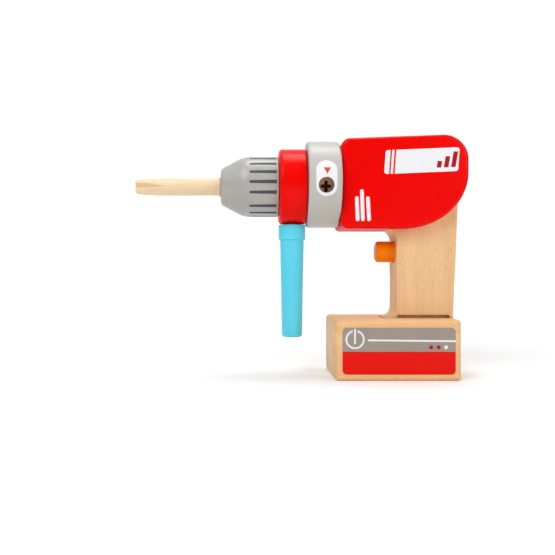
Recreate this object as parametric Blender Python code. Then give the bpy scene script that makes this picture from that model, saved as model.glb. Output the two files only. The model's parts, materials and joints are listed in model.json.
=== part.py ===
"""Toy power drill in painted and plain wood, standing on its battery block.

Metres, +Z up. The origin lies on the table under the middle of the drill. The bit points
along -X, the spindle's axis runs along X, and the decorated side of the body faces -Y.
"""

import math

import bmesh
import bpy
from mathutils import Vector

MM = 0.001

# Clearance between pieces that touch, slide or turn on each other
GAP = 0.3 * MM

# Battery block
BLOCK_BEHIND = 0.8 * MM           # behind the grip's heel
BLOCK_LENGTH = 84.3 * MM
BLOCK_WIDTH = 60.0 * MM
BLOCK_HEIGHT = 41.0 * MM
BLOCK_ROUND = 2.5 * MM
SOCKET_DEPTH = 4.0 * MM           # shallow recess that the whole foot stands in
SOCKET_SIDE_ROOM = 1.3 * MM       # loose fit beside the foot
SOCKET_TOE_ROOM = 2.6 * MM        # loose fit ahead of the toe

# Grip board
GRIP_FRONT = 67.4 * MM            # X of its straight front edge
GRIP_SPAN = 61.3 * MM             # bare height between block and body
GRIP_DEPTH_TOP = 41.4 * MM
GRIP_DEPTH_FOOT = 38.9 * MM
GRIP_THICKNESS = 26.0 * MM
GRIP_ROUND = 3.0 * MM
TOP_FLARE_RADIUS = 8.0 * MM
TOP_FLARE_REACH = 4.9 * MM
TOE_RADIUS = 7.0 * MM
TOP_TENON_INSET = 2.6 * MM        # behind the grip's front edge
TOP_TENON_REAR_INSET = 5.8 * MM   # ahead of the grip's rear edge at the body's underside
TOP_TENON_HEIGHT = 33.0 * MM
FOOT_TENON_INSET = 0.2 * MM
FOOT_TENON_REAR_INSET = 2.2 * MM  # ahead of the grip's heel
FOOT_TENON_LENGTH = 12.0 * MM     # below the socket's floor
FOOT_CHEEK_CUT = 3.0 * MM         # wood taken off each face to make the foot tenon
FOOT_SHADOW_GAP = 2.2 * MM        # how far that cut shows above the block

# Body: two painted cheeks on a core of the grip's thickness
BODY_BEHIND = 6.2 * MM            # behind the grip's rear edge at the body's underside
BODY_LENGTH = 86.8 * MM
BODY_THICKNESS = 44.0 * MM
BODY_FRONT_HEIGHT = 62.0 * MM
BODY_REAR_HEIGHT = 64.3 * MM
BELLY_LENGTH = 45.0 * MM          # the belly is a quarter ellipse
BELLY_HEIGHT = 38.7 * MM
TOP_REAR_RADIUS = 17.0 * MM
TOP_FRONT_RADIUS = 6.0 * MM
BOTTOM_FRONT_RADIUS = 3.6 * MM
BODY_ROUND = 3.0 * MM
DOWEL_RADIUS = 3.0 * MM
DOWEL_BITE = 5.0 * MM             # length of a dowel inside each cheek
DOWEL_CHAMFER = 0.6 * MM
GRIP_DOWEL_RISE = 19.8 * MM       # above the body's underside

# Spindle and what turns on it
SPINDLE_RISE = 30.7 * MM          # above the body's underside
SPINDLE_RADIUS = 8.0 * MM
SPINDLE_BITE = 24.0 * MM          # length inside the body
RING_LENGTH = 22.5 * MM
RING_RADIUS = 30.4 * MM
RING_WALL = 6.5 * MM
RING_WEB = 3.5 * MM              # the cup's floor, against the body
RING_RISE = 1.5 * MM              # the ring sits this much above the spindle's axis
RING_ROUND = 1.8 * MM
RING_DOWEL_RADIUS = 1.4 * MM
RING_DOWEL_LENGTH = 14.0 * MM
RING_DOWEL_INSET = 2.9 * MM       # from a cheek's inner face
WINDOW_RADIUS = 5.25 * MM
WINDOW_BACK = 10.9 * MM           # from the window's middle to the ring's rear face
WINDOW_ANGLE = -6.5               # degrees below the level, about the ring's own centre
DRUM_CLEARANCE = 0.8 * MM         # least space between drum and ring
DRUM_END_PLAY = 0.6 * MM
HUB_RADIUS = 12.2 * MM
HUB_SEAT_DEPTH = 3.5 * MM         # how far the drum's hub reaches into the collar
WASHER_THICKNESS = 1.2 * MM
WASHER_RADIUS = 12.0 * MM
BALL_RADIUS = 2.5 * MM
BALL_OUT = 2.2 * MM               # how far the ball stands out of the cup's floor
DETENT_POCKET = 9.0 * MM          # deep in the body
DETENTS = 3
COLLAR_LENGTH = 19.1 * MM
COLLAR_STEP = 4.0 * MM            # how much smaller the collar is than the ring
COLLAR_FRONT_ROUND = 2.5 * MM
COLLAR_REAR_ROUND = 1.5 * MM

# Side handle
HANDLE_LENGTH = 79.2 * MM
HANDLE_DROP = 0.5 * MM            # open joint between collar and handle
FLANGE_RADIUS = 9.4 * MM
FLANGE_LENGTH = 10.6 * MM
HANDLE_TOP_RADIUS = 8.35 * MM
HANDLE_END_RADIUS = 7.15 * MM
HANDLE_ROUND = 1.5 * MM
STUD_RADIUS = 4.0 * MM
STUD_BITE = 12.0 * MM             # length in the collar, and in the handle

# Chuck
CHUCK_LENGTH = 40.4 * MM
CHUCK_RADIUS = 21.1 * MM
CHUCK_CYLINDER = 20.2 * MM        # straight part at the rear
CHUCK_CONE_ANGLE = 27.3           # degrees
CHUCK_SHOULDER_RADIUS = 16.0 * MM
CHUCK_NOSE_RADIUS = 3.0 * MM
CHUCK_WEB = 4.0 * MM
SCREW_RADIUS = 2.0 * MM
SCREW_HEAD_RADIUS = 4.0 * MM
SCREW_HEAD_HEIGHT = 2.6 * MM
SCREW_BITE = 14.0 * MM            # length of thread in the spindle
SCREW_WASHER_ROOM = 0.9 * MM      # between its edge and the chuck's bore
SCREW_WASHER_THICKNESS = 1.0 * MM

# Bit
BIT_RADIUS = 6.0 * MM
BIT_REACH = 60.3 * MM             # ahead of the chuck
BIT_SHANK = 18.0 * MM             # inside the chuck
BIT_TIP_RADIUS = 5.2 * MM
BIT_TAPER = 8.0 * MM
BIT_SHOULDER_STEP = 0.75 * MM     # how far the shoulder ring stands out
BIT_SHOULDER_WIDTH = 1.6 * MM
FLUTE_LENGTH = 23.0 * MM
FLUTE_CORE = 1.8 * MM             # from the axis to a flute's root, at the tip
FLUTES = 4

# Trigger
TRIGGER_RADIUS = 7.4 * MM
TRIGGER_DROP = 15.3 * MM          # below the body's underside
TRIGGER_OUT = 12.8 * MM           # ahead of the grip's front edge at rest
TRIGGER_IN = 20.3 * MM            # behind it
TRIGGER_TRAVEL = 8.0 * MM
TRIGGER_ROUND = 2.0 * MM
TRIGGER_SPRING_LENGTH = 12.7 * MM
TRIGGER_SPRING_RADIUS = 4.6 * MM
TRIGGER_PIN_RADIUS = 2.0 * MM
TRIGGER_PIN_INSET = 12.6 * MM     # behind the grip's front edge
TRIGGER_PIN_COVER = 3.0 * MM      # wood left over the pin on the decorated side
WIRE_RADIUS = 0.4 * MM
COIL_TURNS = 5

# Stations worked out from the sizes above
HALF_GRIP = GRIP_THICKNESS / 2
HALF_BODY = BODY_THICKNESS / 2
CHEEK_INNER = HALF_GRIP + GAP
BLOCK_FRONT = GRIP_FRONT + GRIP_DEPTH_FOOT + BLOCK_BEHIND - BLOCK_LENGTH
BODY_REAR = GRIP_FRONT + GRIP_DEPTH_TOP + BODY_BEHIND
BODY_FRONT = BODY_REAR - BODY_LENGTH
BODY_BOTTOM = BLOCK_HEIGHT + GRIP_SPAN
BELLY_START = BODY_REAR - BELLY_LENGTH
AXIS_Z = BODY_BOTTOM + SPINDLE_RISE
RING_Z = AXIS_Z + RING_RISE
RING_REAR = BODY_FRONT - GAP
RING_FRONT = RING_REAR - RING_LENGTH
RING_BORE = RING_RADIUS - RING_WALL
COLLAR_RADIUS = RING_RADIUS - COLLAR_STEP
COLLAR_REAR = RING_FRONT - GAP
COLLAR_FRONT = COLLAR_REAR - COLLAR_LENGTH
COLLAR_MIDDLE = (COLLAR_FRONT + COLLAR_REAR) / 2
CHUCK_REAR = COLLAR_FRONT - GAP
CHUCK_FRONT = CHUCK_REAR - CHUCK_LENGTH
BIT_TIP = CHUCK_FRONT - BIT_REACH
SPINDLE_BORE = SPINDLE_RADIUS + GAP
HEAD_START = BIT_SHANK + 2 * GAP
WASHER_START = HEAD_START + SCREW_HEAD_HEIGHT + GAP
WEB_START = WASHER_START + SCREW_WASHER_THICKNESS + GAP
WEB_END = WEB_START + CHUCK_WEB
SPINDLE_FRONT = CHUCK_FRONT + WEB_END + GAP
SPINDLE_REAR = BODY_FRONT + SPINDLE_BITE
CUP_FLOOR = RING_REAR - RING_WEB
DRUM_FRONT = RING_FRONT + DRUM_END_PLAY
DRUM_REAR = CUP_FLOOR - DRUM_END_PLAY
DRUM_RADIUS = RING_BORE - RING_RISE - DRUM_CLEARANCE
DETENT_RISE = (WASHER_RADIUS + DRUM_RADIUS) / 2
SCREW_WASHER_RADIUS = BIT_RADIUS + GAP - SCREW_WASHER_ROOM
TRIGGER_Z = BODY_BOTTOM - TRIGGER_DROP
TRIGGER_TIP = GRIP_FRONT - TRIGGER_OUT
TRIGGER_END = GRIP_FRONT + TRIGGER_IN
TRIGGER_PIN_X = GRIP_FRONT + TRIGGER_PIN_INSET
FOOT_BOTTOM = BLOCK_HEIGHT - SOCKET_DEPTH + GAP
FOOT_TENON_FRONT = GRIP_FRONT + FOOT_TENON_INSET
FOOT_TENON_REAR = GRIP_FRONT + GRIP_DEPTH_FOOT - FOOT_TENON_REAR_INSET
TOP_TENON_FRONT = GRIP_FRONT + TOP_TENON_INSET
TOP_TENON_REAR = GRIP_FRONT + GRIP_DEPTH_TOP - TOP_TENON_REAR_INSET
TOP_TENON_TOP = BODY_BOTTOM + TOP_TENON_HEIGHT

MERGE = 0.01 * MM
EDGE = 0.5 * MM                   # small chamfer on turned edges
ROUND_STEPS = 3
TAPER_STEPS = 5
ROUND_SIDES = 48                  # of the big turned pieces
INNER_SIDES = 36                  # of the smaller ones
SMOOTH_ANGLE = math.radians(35.0)
X_AXIS = Vector((1.0, 0.0, 0.0))
Y_AXIS = Vector((0.0, 1.0, 0.0))
DOWN = Vector((0.0, 0.0, -1.0))


def clear_scene():
    for old in list(bpy.data.objects):
        bpy.data.objects.remove(old, do_unlink=True)


def finish_material(name, colour, roughness, metallic=0.0):
    """A Principled material in one plain colour."""
    material = bpy.data.materials.new(name)
    material.use_nodes = True
    shader = material.node_tree.nodes["Principled BSDF"]
    shader.inputs["Base Color"].default_value = (*colour, 1.0)
    shader.inputs["Roughness"].default_value = roughness
    shader.inputs["Metallic"].default_value = metallic
    return material


def joint_empty(name, location):
    """An empty on a joint's axis, which the pieces that move there hang from."""
    empty = bpy.data.objects.new(name, None)
    empty.location = location
    empty.empty_display_size = 0.01
    bpy.context.collection.objects.link(empty)
    return empty


def piece(name, shape, location, material, parent=None):
    """Make an object of a bmesh whose points are counted from location."""
    mesh = bpy.data.meshes.new(name)
    shape.to_mesh(mesh)
    shape.free()
    mesh.shade_smooth()
    mesh.set_sharp_from_angle(angle=SMOOTH_ANGLE)
    made = bpy.data.objects.new(name, mesh)
    made.location = Vector(location)
    if material is not None:
        mesh.materials.append(material)
    if parent is not None:
        made.parent = parent
        made.location = Vector(location) - parent.location
    bpy.context.collection.objects.link(made)
    return made


def cut(target, shape, location=(0.0, 0.0, 0.0)):
    """Take a bmesh's shape out of an object with an exact boolean."""
    cutter = piece(f"cut_{target.name}_{len(target.modifiers)}", shape, location, None)
    cutter.hide_render = True
    cutter.display_type = "WIRE"
    boolean = target.modifiers.new("cut", "BOOLEAN")
    boolean.operation = "DIFFERENCE"
    boolean.solver = "EXACT"
    boolean.object = cutter


def arc(centre, radius, start, stop, steps):
    """Points on an arc from start to stop degrees, both ends included."""
    angles = [math.radians(start + (stop - start) * i / steps) for i in range(steps + 1)]
    return [(centre[0] + radius * math.cos(a), centre[1] + radius * math.sin(a)) for a in angles]


def spun(profile, direction, steps, phase=0.0):
    """Spin the profile [(distance along, radius), ...] about the direction through the origin."""
    shape = bmesh.new()
    across, up = math.cos(phase), math.sin(phase)
    points = [shape.verts.new((radius * across, radius * up, along)) for along, radius in profile]
    edges = [shape.edges.new(pair) for pair in zip(points, points[1:])]
    if profile[0][1] > 0.0:
        edges.append(shape.edges.new((points[-1], points[0])))
    bmesh.ops.spin(shape, geom=points + edges, cent=(0, 0, 0), axis=(0, 0, 1),
                   angle=2 * math.pi, steps=steps, use_merge=True)
    bmesh.ops.remove_doubles(shape, verts=shape.verts[:], dist=MERGE)
    bmesh.ops.recalc_face_normals(shape, faces=shape.faces[:])
    turn = direction.to_track_quat("Z", "Y").to_matrix()
    bmesh.ops.rotate(shape, verts=shape.verts[:], cent=(0, 0, 0), matrix=turn)
    return shape


def rod(radius, length, direction, steps=24, chamfer=0.0):
    """A plain round rod from the origin along the direction, with flats up, down and sideways."""
    profile = [(0.0, 0.0), (0.0, radius - chamfer), (length, radius - chamfer), (length, 0.0)]
    if chamfer > 0.0:
        profile[2:2] = [(chamfer, radius), (length - chamfer, radius)]
    return spun(profile, direction, steps, math.pi / steps)


def tube(bore, radius, length, direction, steps=24):
    """A plain washer or sleeve from the origin along the direction."""
    return spun([(0.0, bore), (0.0, radius), (length, radius), (length, bore)], direction, steps)


def block(low, high):
    """A box between two corners."""
    shape = bmesh.new()
    bmesh.ops.create_cube(shape, size=1.0)
    size = Vector(high) - Vector(low)
    bmesh.ops.scale(shape, vec=size, verts=shape.verts[:])
    bmesh.ops.translate(shape, vec=(Vector(low) + Vector(high)) / 2, verts=shape.verts[:])
    return shape


def slab(outline, near, far):
    """The outline [(x, z), ...] as a board between Y = near and Y = far."""
    shape = bmesh.new()
    face = shape.faces.new([shape.verts.new((x, near, z)) for x, z in outline])
    grown = bmesh.ops.extrude_face_region(shape, geom=[face])["geom"]
    moved = [part for part in grown if isinstance(part, bmesh.types.BMVert)]
    bmesh.ops.translate(shape, vec=(0.0, far - near, 0.0), verts=moved)
    bmesh.ops.recalc_face_normals(shape, faces=shape.faces[:])
    return shape


def round_edges(shape, edges, radius, steps=ROUND_STEPS):
    bmesh.ops.bevel(shape, geom=edges, offset=radius, offset_type="OFFSET", segments=steps,
                    profile=0.5, affect="EDGES", clamp_overlap=True, material=-1)


def spring(name, radius, length, turns, location, direction, material, parent):
    """A coil spring from the location along the direction, as a bevelled curve."""
    steps = 10                        # points in one turn
    curve = bpy.data.curves.new(name, "CURVE")
    curve.dimensions = "3D"
    curve.bevel_depth = WIRE_RADIUS
    curve.bevel_resolution = 1
    curve.use_fill_caps = True
    count = turns * steps + 1
    line = curve.splines.new("POLY")
    line.points.add(count - 1)
    turn = direction.to_track_quat("Z", "Y")
    rise = length - 2 * WIRE_RADIUS
    for i, point in enumerate(line.points):
        angle = 2 * math.pi * i / steps
        place = Vector((radius * math.cos(angle), radius * math.sin(angle), 0.0))
        place.z = WIRE_RADIUS + rise * i / (count - 1)
        point.co = (*(turn @ place), 1.0)
    curve.materials.append(material)
    made = bpy.data.objects.new(name, curve)
    made.parent = parent
    made.location = Vector(location) - parent.location
    bpy.context.collection.objects.link(made)
    return made


def belly_height(x):
    """Height of the body's underside at x, along the belly's quarter ellipse."""
    share = max(0.0, (x - BELLY_START) / BELLY_LENGTH)
    return BODY_BOTTOM + BELLY_HEIGHT * (1.0 - math.sqrt(1.0 - share * share))


def body_outline():
    """Side view of the body: a straight nose, a curved belly and a large rear corner."""
    corner = BOTTOM_FRONT_RADIUS
    points = arc((BODY_FRONT + corner, BODY_BOTTOM + corner), corner, 180, 270, 3)
    for step in range(13):
        angle = math.radians(90.0 * step / 12)
        points.append((BELLY_START + BELLY_LENGTH * math.sin(angle),
                       BODY_BOTTOM + BELLY_HEIGHT * (1.0 - math.cos(angle))))
    corner = TOP_REAR_RADIUS
    top = BODY_BOTTOM + BODY_REAR_HEIGHT
    points += arc((BODY_REAR - corner, top - corner), corner, 0, 90, 8)
    corner = TOP_FRONT_RADIUS
    top = BODY_BOTTOM + BODY_FRONT_HEIGHT
    points += arc((BODY_FRONT + corner, top - corner), corner, 90, 180, 4)
    return points


def grip_rear(z):
    """X of the grip's sloping rear edge at height z."""
    share = (z - BLOCK_HEIGHT) / GRIP_SPAN
    return GRIP_FRONT + GRIP_DEPTH_FOOT + (GRIP_DEPTH_TOP - GRIP_DEPTH_FOOT) * share


def rear_shoulder():
    """Height at which the grip's rear edge runs into the body's belly."""
    height = BODY_BOTTOM
    for _ in range(8):
        height = belly_height(grip_rear(height))
    return height


def grip_outline():
    """Side view of the grip with its top tenon, its foot tenon and both flares."""
    seat = BODY_BOTTOM - GAP
    shoulder = rear_shoulder() - GAP
    points = [(FOOT_TENON_FRONT, FOOT_BOTTOM - FOOT_TENON_LENGTH),
              (FOOT_TENON_REAR, FOOT_BOTTOM - FOOT_TENON_LENGTH),
              (FOOT_TENON_REAR, FOOT_BOTTOM),
              (grip_rear(BLOCK_HEIGHT), FOOT_BOTTOM),
              (grip_rear(BLOCK_HEIGHT), BLOCK_HEIGHT),
              (grip_rear(shoulder), shoulder),
              (TOP_TENON_REAR, shoulder),
              (TOP_TENON_REAR, TOP_TENON_TOP),
              (TOP_TENON_FRONT, TOP_TENON_TOP),
              (TOP_TENON_FRONT, seat)]
    reach = math.acos(1.0 - TOP_FLARE_REACH / TOP_FLARE_RADIUS)
    top_centre = (GRIP_FRONT - TOP_FLARE_RADIUS, seat - TOP_FLARE_RADIUS * math.sin(reach))
    points += arc(top_centre, TOP_FLARE_RADIUS, math.degrees(reach), 0, 4)
    toe_centre = (GRIP_FRONT - TOE_RADIUS, BLOCK_HEIGHT + TOE_RADIUS)
    points += arc(toe_centre, TOE_RADIUS, 0, -90, 5)
    points.append((GRIP_FRONT - TOE_RADIUS, FOOT_BOTTOM))
    points.append((FOOT_TENON_FRONT, FOOT_BOTTOM))
    return points


def make_battery_block(material):
    low = (BLOCK_FRONT, -BLOCK_WIDTH / 2, 0.0)
    high = (BLOCK_FRONT + BLOCK_LENGTH, BLOCK_WIDTH / 2, BLOCK_HEIGHT)
    shape = block(low, high)
    round_edges(shape, shape.edges[:], BLOCK_ROUND)
    made = piece("battery_block", shape, (0.0, 0.0, 0.0), material)
    room = HALF_GRIP + SOCKET_SIDE_ROOM
    toe = GRIP_FRONT - TOE_RADIUS - SOCKET_TOE_ROOM
    above = BLOCK_HEIGHT + BLOCK_ROUND
    behind = high[0] + BLOCK_ROUND
    cut(made, block((toe, -room, BLOCK_HEIGHT - SOCKET_DEPTH), (behind, room, above)))
    room = HALF_GRIP - FOOT_CHEEK_CUT + GAP
    floor = FOOT_BOTTOM - FOOT_TENON_LENGTH - GAP
    cut(made, block((FOOT_TENON_FRONT - GAP, -room, floor), (FOOT_TENON_REAR + GAP, room, above)))


def bare_grip_edges(shape):
    """Long edges of the grip that show between the block and the body."""
    low = BLOCK_HEIGHT - MERGE
    chosen = []
    for edge in shape.edges:
        first, second = (vert.co for vert in edge.verts)
        along_face = abs(first.y - second.y) < MERGE
        front = max(first.x, second.x) < GRIP_FRONT + MERGE
        rear = min(first.x, second.x) > FOOT_TENON_REAR + MERGE and abs(first.z - second.z) > MERGE
        if along_face and min(first.z, second.z) > low and (front or rear):
            chosen.append(edge)
    return chosen


def make_grip(material, drill):
    shape = slab(grip_outline(), -HALF_GRIP, HALF_GRIP)
    round_edges(shape, bare_grip_edges(shape), GRIP_ROUND)
    made = piece("grip", shape, (0.0, 0.0, 0.0), material, drill)
    ahead = FOOT_TENON_FRONT
    behind = FOOT_TENON_REAR
    bottom = FOOT_BOTTOM - FOOT_TENON_LENGTH - FOOT_CHEEK_CUT
    top = BLOCK_HEIGHT + FOOT_SHADOW_GAP
    inner = HALF_GRIP - FOOT_CHEEK_CUT
    outer = HALF_GRIP + FOOT_CHEEK_CUT
    cut(made, block((ahead, -outer, bottom), (behind, -inner, top)))
    cut(made, block((ahead, inner, bottom), (behind, outer, top)))
    bore = TRIGGER_IN + GAP + TRIGGER_SPRING_LENGTH + GAP
    cut(made, rod(TRIGGER_RADIUS + GAP, bore + TOE_RADIUS, X_AXIS, 32),
        (GRIP_FRONT - TOE_RADIUS, 0.0, TRIGGER_Z))
    pin_length = GRIP_THICKNESS - TRIGGER_PIN_COVER + GAP
    cut(made, rod(TRIGGER_PIN_RADIUS + GAP, pin_length + GAP, -Y_AXIS, 16),
        (TRIGGER_PIN_X, HALF_GRIP + GAP, TRIGGER_Z))
    for x, z in grip_dowel_places():
        cut(made, rod(DOWEL_RADIUS + GAP, GRIP_THICKNESS * 2, Y_AXIS, 20), (x, -GRIP_THICKNESS, z))


def body_dowel_places():
    """Where the four dowels through core and cheeks go: two low, two high."""
    front = BODY_FRONT + SPINDLE_BITE - 2 * DOWEL_RADIUS
    low = BODY_BOTTOM + 3 * DOWEL_RADIUS
    high = BODY_BOTTOM + BODY_FRONT_HEIGHT - 3 * DOWEL_RADIUS
    middle = TOP_TENON_TOP + 5 * DOWEL_RADIUS
    rear = BODY_REAR - 3 * DOWEL_RADIUS
    return [(front, low), (front, high), ((front + rear) / 2, middle), (rear, middle)]


def grip_dowel_places():
    """Where the two dowels through the grip's top tenon go."""
    height = BODY_BOTTOM + GRIP_DOWEL_RISE
    quarter = (TOP_TENON_REAR - TOP_TENON_FRONT) / 4
    return [(TOP_TENON_FRONT + quarter, height), (TOP_TENON_REAR - quarter, height)]


def make_dowels(material, drill):
    reach = CHEEK_INNER + DOWEL_BITE
    places = {"body_dowel": body_dowel_places(), "grip_dowel": grip_dowel_places()}
    for name, spots in places.items():
        for number, (x, z) in enumerate(spots, 1):
            shape = rod(DOWEL_RADIUS, 2 * reach, Y_AXIS, 20, DOWEL_CHAMFER)
            piece(f"{name}_{number}", shape, (x, -reach, z), material, drill)


def ring_dowel_place(side):
    """Middle of the ring's wall where a ring dowel enters a cheek, on the side given by its sign."""
    across = CHEEK_INNER + RING_DOWEL_INSET
    radius = RING_RADIUS - RING_WALL / 2
    return side * across, RING_Z + math.sqrt(radius * radius - across * across)


def make_cheek(name, side, material, drill):
    shape = slab(body_outline(), side * CHEEK_INNER, side * HALF_BODY)
    outer = [edge for edge in shape.edges
             if all(abs(vert.co.y) > HALF_BODY - MERGE for vert in edge.verts)]
    round_edges(shape, outer, BODY_ROUND)
    made = piece(name, shape, (0.0, 0.0, 0.0), material, drill)
    start = side * (CHEEK_INNER - DOWEL_BITE)
    for x, z in body_dowel_places() + grip_dowel_places():
        cut(made, rod(DOWEL_RADIUS + GAP, 2 * DOWEL_BITE + GAP, side * Y_AXIS, 20), (x, start, z))
    y, z = ring_dowel_place(side)
    half = RING_DOWEL_LENGTH / 2
    cut(made, rod(RING_DOWEL_RADIUS + GAP, 2 * half + GAP, X_AXIS, 12), (BODY_FRONT - half, y, z))


def make_body_core(material, drill):
    shape = slab(body_outline(), -HALF_GRIP, HALF_GRIP)
    made = piece("body_core", shape, (0.0, 0.0, 0.0), material, drill)
    wide = GRIP_THICKNESS
    below = BODY_BOTTOM - wide
    cut(made, block((TOP_TENON_FRONT - GAP, -wide, below),
                    (TOP_TENON_REAR + GAP, wide, TOP_TENON_TOP + GAP)))
    cut(made, block((TOP_TENON_REAR, -wide, below), (BODY_REAR + wide, wide, rear_shoulder() + GAP)))
    cut(made, rod(SPINDLE_BORE, SPINDLE_BITE + 2 * GAP, X_AXIS, 32), (BODY_FRONT - GAP, 0.0, AXIS_Z))
    cut(made, rod(BALL_RADIUS + GAP, DETENT_POCKET + GAP, X_AXIS, 20),
        (BODY_FRONT - GAP, 0.0, AXIS_Z + DETENT_RISE))
    for x, z in body_dowel_places():
        cut(made, rod(DOWEL_RADIUS + GAP, 2 * wide, Y_AXIS, 20), (x, -wide, z))


def make_selector_ring(material, drill):
    """A fixed cup round the symbol drum, closed towards the body, with a round window."""
    corner = RING_ROUND
    depth = RING_LENGTH - RING_WEB
    profile = [(depth, 0.0), (depth, RING_BORE), (0.0, RING_BORE)]
    profile += [(corner + a, RING_RADIUS - corner + r) for a, r in arc((0, 0), corner, 180, 90, 3)]
    profile += [(RING_LENGTH - corner + a, RING_RADIUS - corner + r)
                for a, r in arc((0, 0), corner, 90, 0, 3)]
    profile += [(RING_LENGTH, 0.0)]
    shape = spun(profile, X_AXIS, ROUND_SIDES)
    made = piece("selector_ring", shape, (RING_FRONT, 0.0, RING_Z), material, drill)
    start = CUP_FLOOR - RING_WEB
    cut(made, rod(SPINDLE_BORE, 3 * RING_WEB, X_AXIS, 32), (start, 0.0, AXIS_Z))
    cut(made, rod(BALL_RADIUS + GAP, 3 * RING_WEB, X_AXIS, 20), (start, 0.0, AXIS_Z + DETENT_RISE))
    angle = math.radians(WINDOW_ANGLE)
    outward = Vector((0.0, -math.cos(angle), math.sin(angle)))
    start = Vector((RING_REAR - WINDOW_BACK, 0.0, RING_Z)) + outward * (RING_BORE - RING_WALL)
    cut(made, rod(WINDOW_RADIUS, 3 * RING_WALL, outward, 32), start)
    half = RING_DOWEL_LENGTH / 2
    for side in (-1, 1):
        y, z = ring_dowel_place(side)
        cut(made, rod(RING_DOWEL_RADIUS + GAP, 2 * half, X_AXIS, 12), (RING_REAR - half - GAP, y, z))


def make_ring_dowels(material, drill):
    for name, side in (("ring_dowel_near", -1), ("ring_dowel_far", 1)):
        y, z = ring_dowel_place(side)
        start = BODY_FRONT - RING_DOWEL_LENGTH / 2
        shape = rod(RING_DOWEL_RADIUS, RING_DOWEL_LENGTH, X_AXIS, 12)
        piece(name, shape, (start, y, z), material, drill)


def make_symbol_drum(material, collar):
    """The drum that shows through the window, with a hub that reaches into the collar."""
    hub = DRUM_FRONT - (COLLAR_REAR - HUB_SEAT_DEPTH + GAP)
    length = DRUM_REAR - (DRUM_FRONT - hub)
    seat = length + DRUM_END_PLAY - WASHER_THICKNESS - 2 * GAP
    groove_depth = BALL_OUT + GAP - DRUM_END_PLAY
    floor = BALL_RADIUS / 2
    lip = BALL_RADIUS + GAP
    profile = [(seat, SPINDLE_BORE), (0.0, SPINDLE_BORE), (0.0, HUB_RADIUS), (hub, HUB_RADIUS),
               (hub, DRUM_RADIUS), (length, DRUM_RADIUS), (length, DETENT_RISE + lip),
               (length - groove_depth, DETENT_RISE + floor),
               (length - groove_depth, DETENT_RISE - floor), (length, DETENT_RISE - lip),
               (length, WASHER_RADIUS + GAP), (seat, WASHER_RADIUS + GAP)]
    shape = spun(profile, X_AXIS, INNER_SIDES)
    made = piece("symbol_drum", shape, (DRUM_FRONT - hub, 0.0, AXIS_Z), material, collar)
    for number in range(DETENTS):
        angle = 2 * math.pi * number / DETENTS
        y = DETENT_RISE * math.sin(angle)
        z = AXIS_Z + DETENT_RISE * math.cos(angle)
        dimple = [(0.0, 0.0), (0.0, BALL_RADIUS / 3), (2 * BALL_RADIUS, BALL_RADIUS),
                  (2 * BALL_RADIUS, 0.0)]
        cut(made, spun(dimple, X_AXIS, 12), (DRUM_REAR - groove_depth - 2 * GAP, y, z))


def make_spindle(material, drill):
    chamfer = EDGE
    length = SPINDLE_REAR - SPINDLE_FRONT
    pilot = SCREW_BITE + GAP
    profile = [(pilot, 0.0), (pilot, SCREW_RADIUS + GAP), (0.0, SCREW_RADIUS + GAP),
               (0.0, SPINDLE_RADIUS - chamfer), (chamfer, SPINDLE_RADIUS),
               (length - chamfer, SPINDLE_RADIUS), (length, SPINDLE_RADIUS - chamfer), (length, 0.0)]
    piece("spindle", spun(profile, X_AXIS, 24), (SPINDLE_FRONT, 0.0, AXIS_Z), material, drill)


def make_washers(material, drill):
    shape = tube(SPINDLE_BORE, WASHER_RADIUS, WASHER_THICKNESS, X_AXIS)
    piece("front_thrust_washer", shape, (COLLAR_FRONT, 0.0, AXIS_Z), material, drill)
    shape = tube(SPINDLE_BORE, WASHER_RADIUS, WASHER_THICKNESS, X_AXIS)
    start = CUP_FLOOR - GAP - WASHER_THICKNESS
    piece("rear_thrust_washer", shape, (start, 0.0, AXIS_Z), material, drill)


def make_detent(material, drill):
    centre = CUP_FLOOR - BALL_OUT + BALL_RADIUS
    shape = bmesh.new()
    bmesh.ops.create_uvsphere(shape, u_segments=12, v_segments=8, radius=BALL_RADIUS)
    piece("detent_ball", shape, (centre, 0.0, AXIS_Z + DETENT_RISE), material, drill)
    start = centre + BALL_RADIUS + GAP
    length = BODY_FRONT + DETENT_POCKET - GAP - start
    spring("detent_spring", BALL_RADIUS - 2 * WIRE_RADIUS, length, COIL_TURNS,
           (start, 0.0, AXIS_Z + DETENT_RISE), X_AXIS, material, drill)


def make_nose_collar(material, collar):
    seat = WASHER_THICKNESS + GAP
    front = COLLAR_FRONT_ROUND
    rear = COLLAR_REAR_ROUND
    profile = [(seat, SPINDLE_BORE), (seat, WASHER_RADIUS + GAP), (0.0, WASHER_RADIUS + GAP)]
    profile += [(front + a, COLLAR_RADIUS - front + r) for a, r in arc((0, 0), front, 180, 90, 4)]
    profile += [(COLLAR_LENGTH - rear + a, COLLAR_RADIUS - rear + r)
                for a, r in arc((0, 0), rear, 90, 0, 3)]
    profile += [(COLLAR_LENGTH, HUB_RADIUS + GAP), (COLLAR_LENGTH - HUB_SEAT_DEPTH, HUB_RADIUS + GAP),
                (COLLAR_LENGTH - HUB_SEAT_DEPTH, SPINDLE_BORE)]
    shape = spun(profile, X_AXIS, ROUND_SIDES)
    made = piece("nose_collar", shape, (COLLAR_FRONT, 0.0, AXIS_Z), material, collar)
    start = AXIS_Z - COLLAR_RADIUS + STUD_BITE + GAP
    cut(made, rod(STUD_RADIUS + GAP, 2 * STUD_BITE, DOWN, 24), (COLLAR_MIDDLE, 0.0, start))


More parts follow.
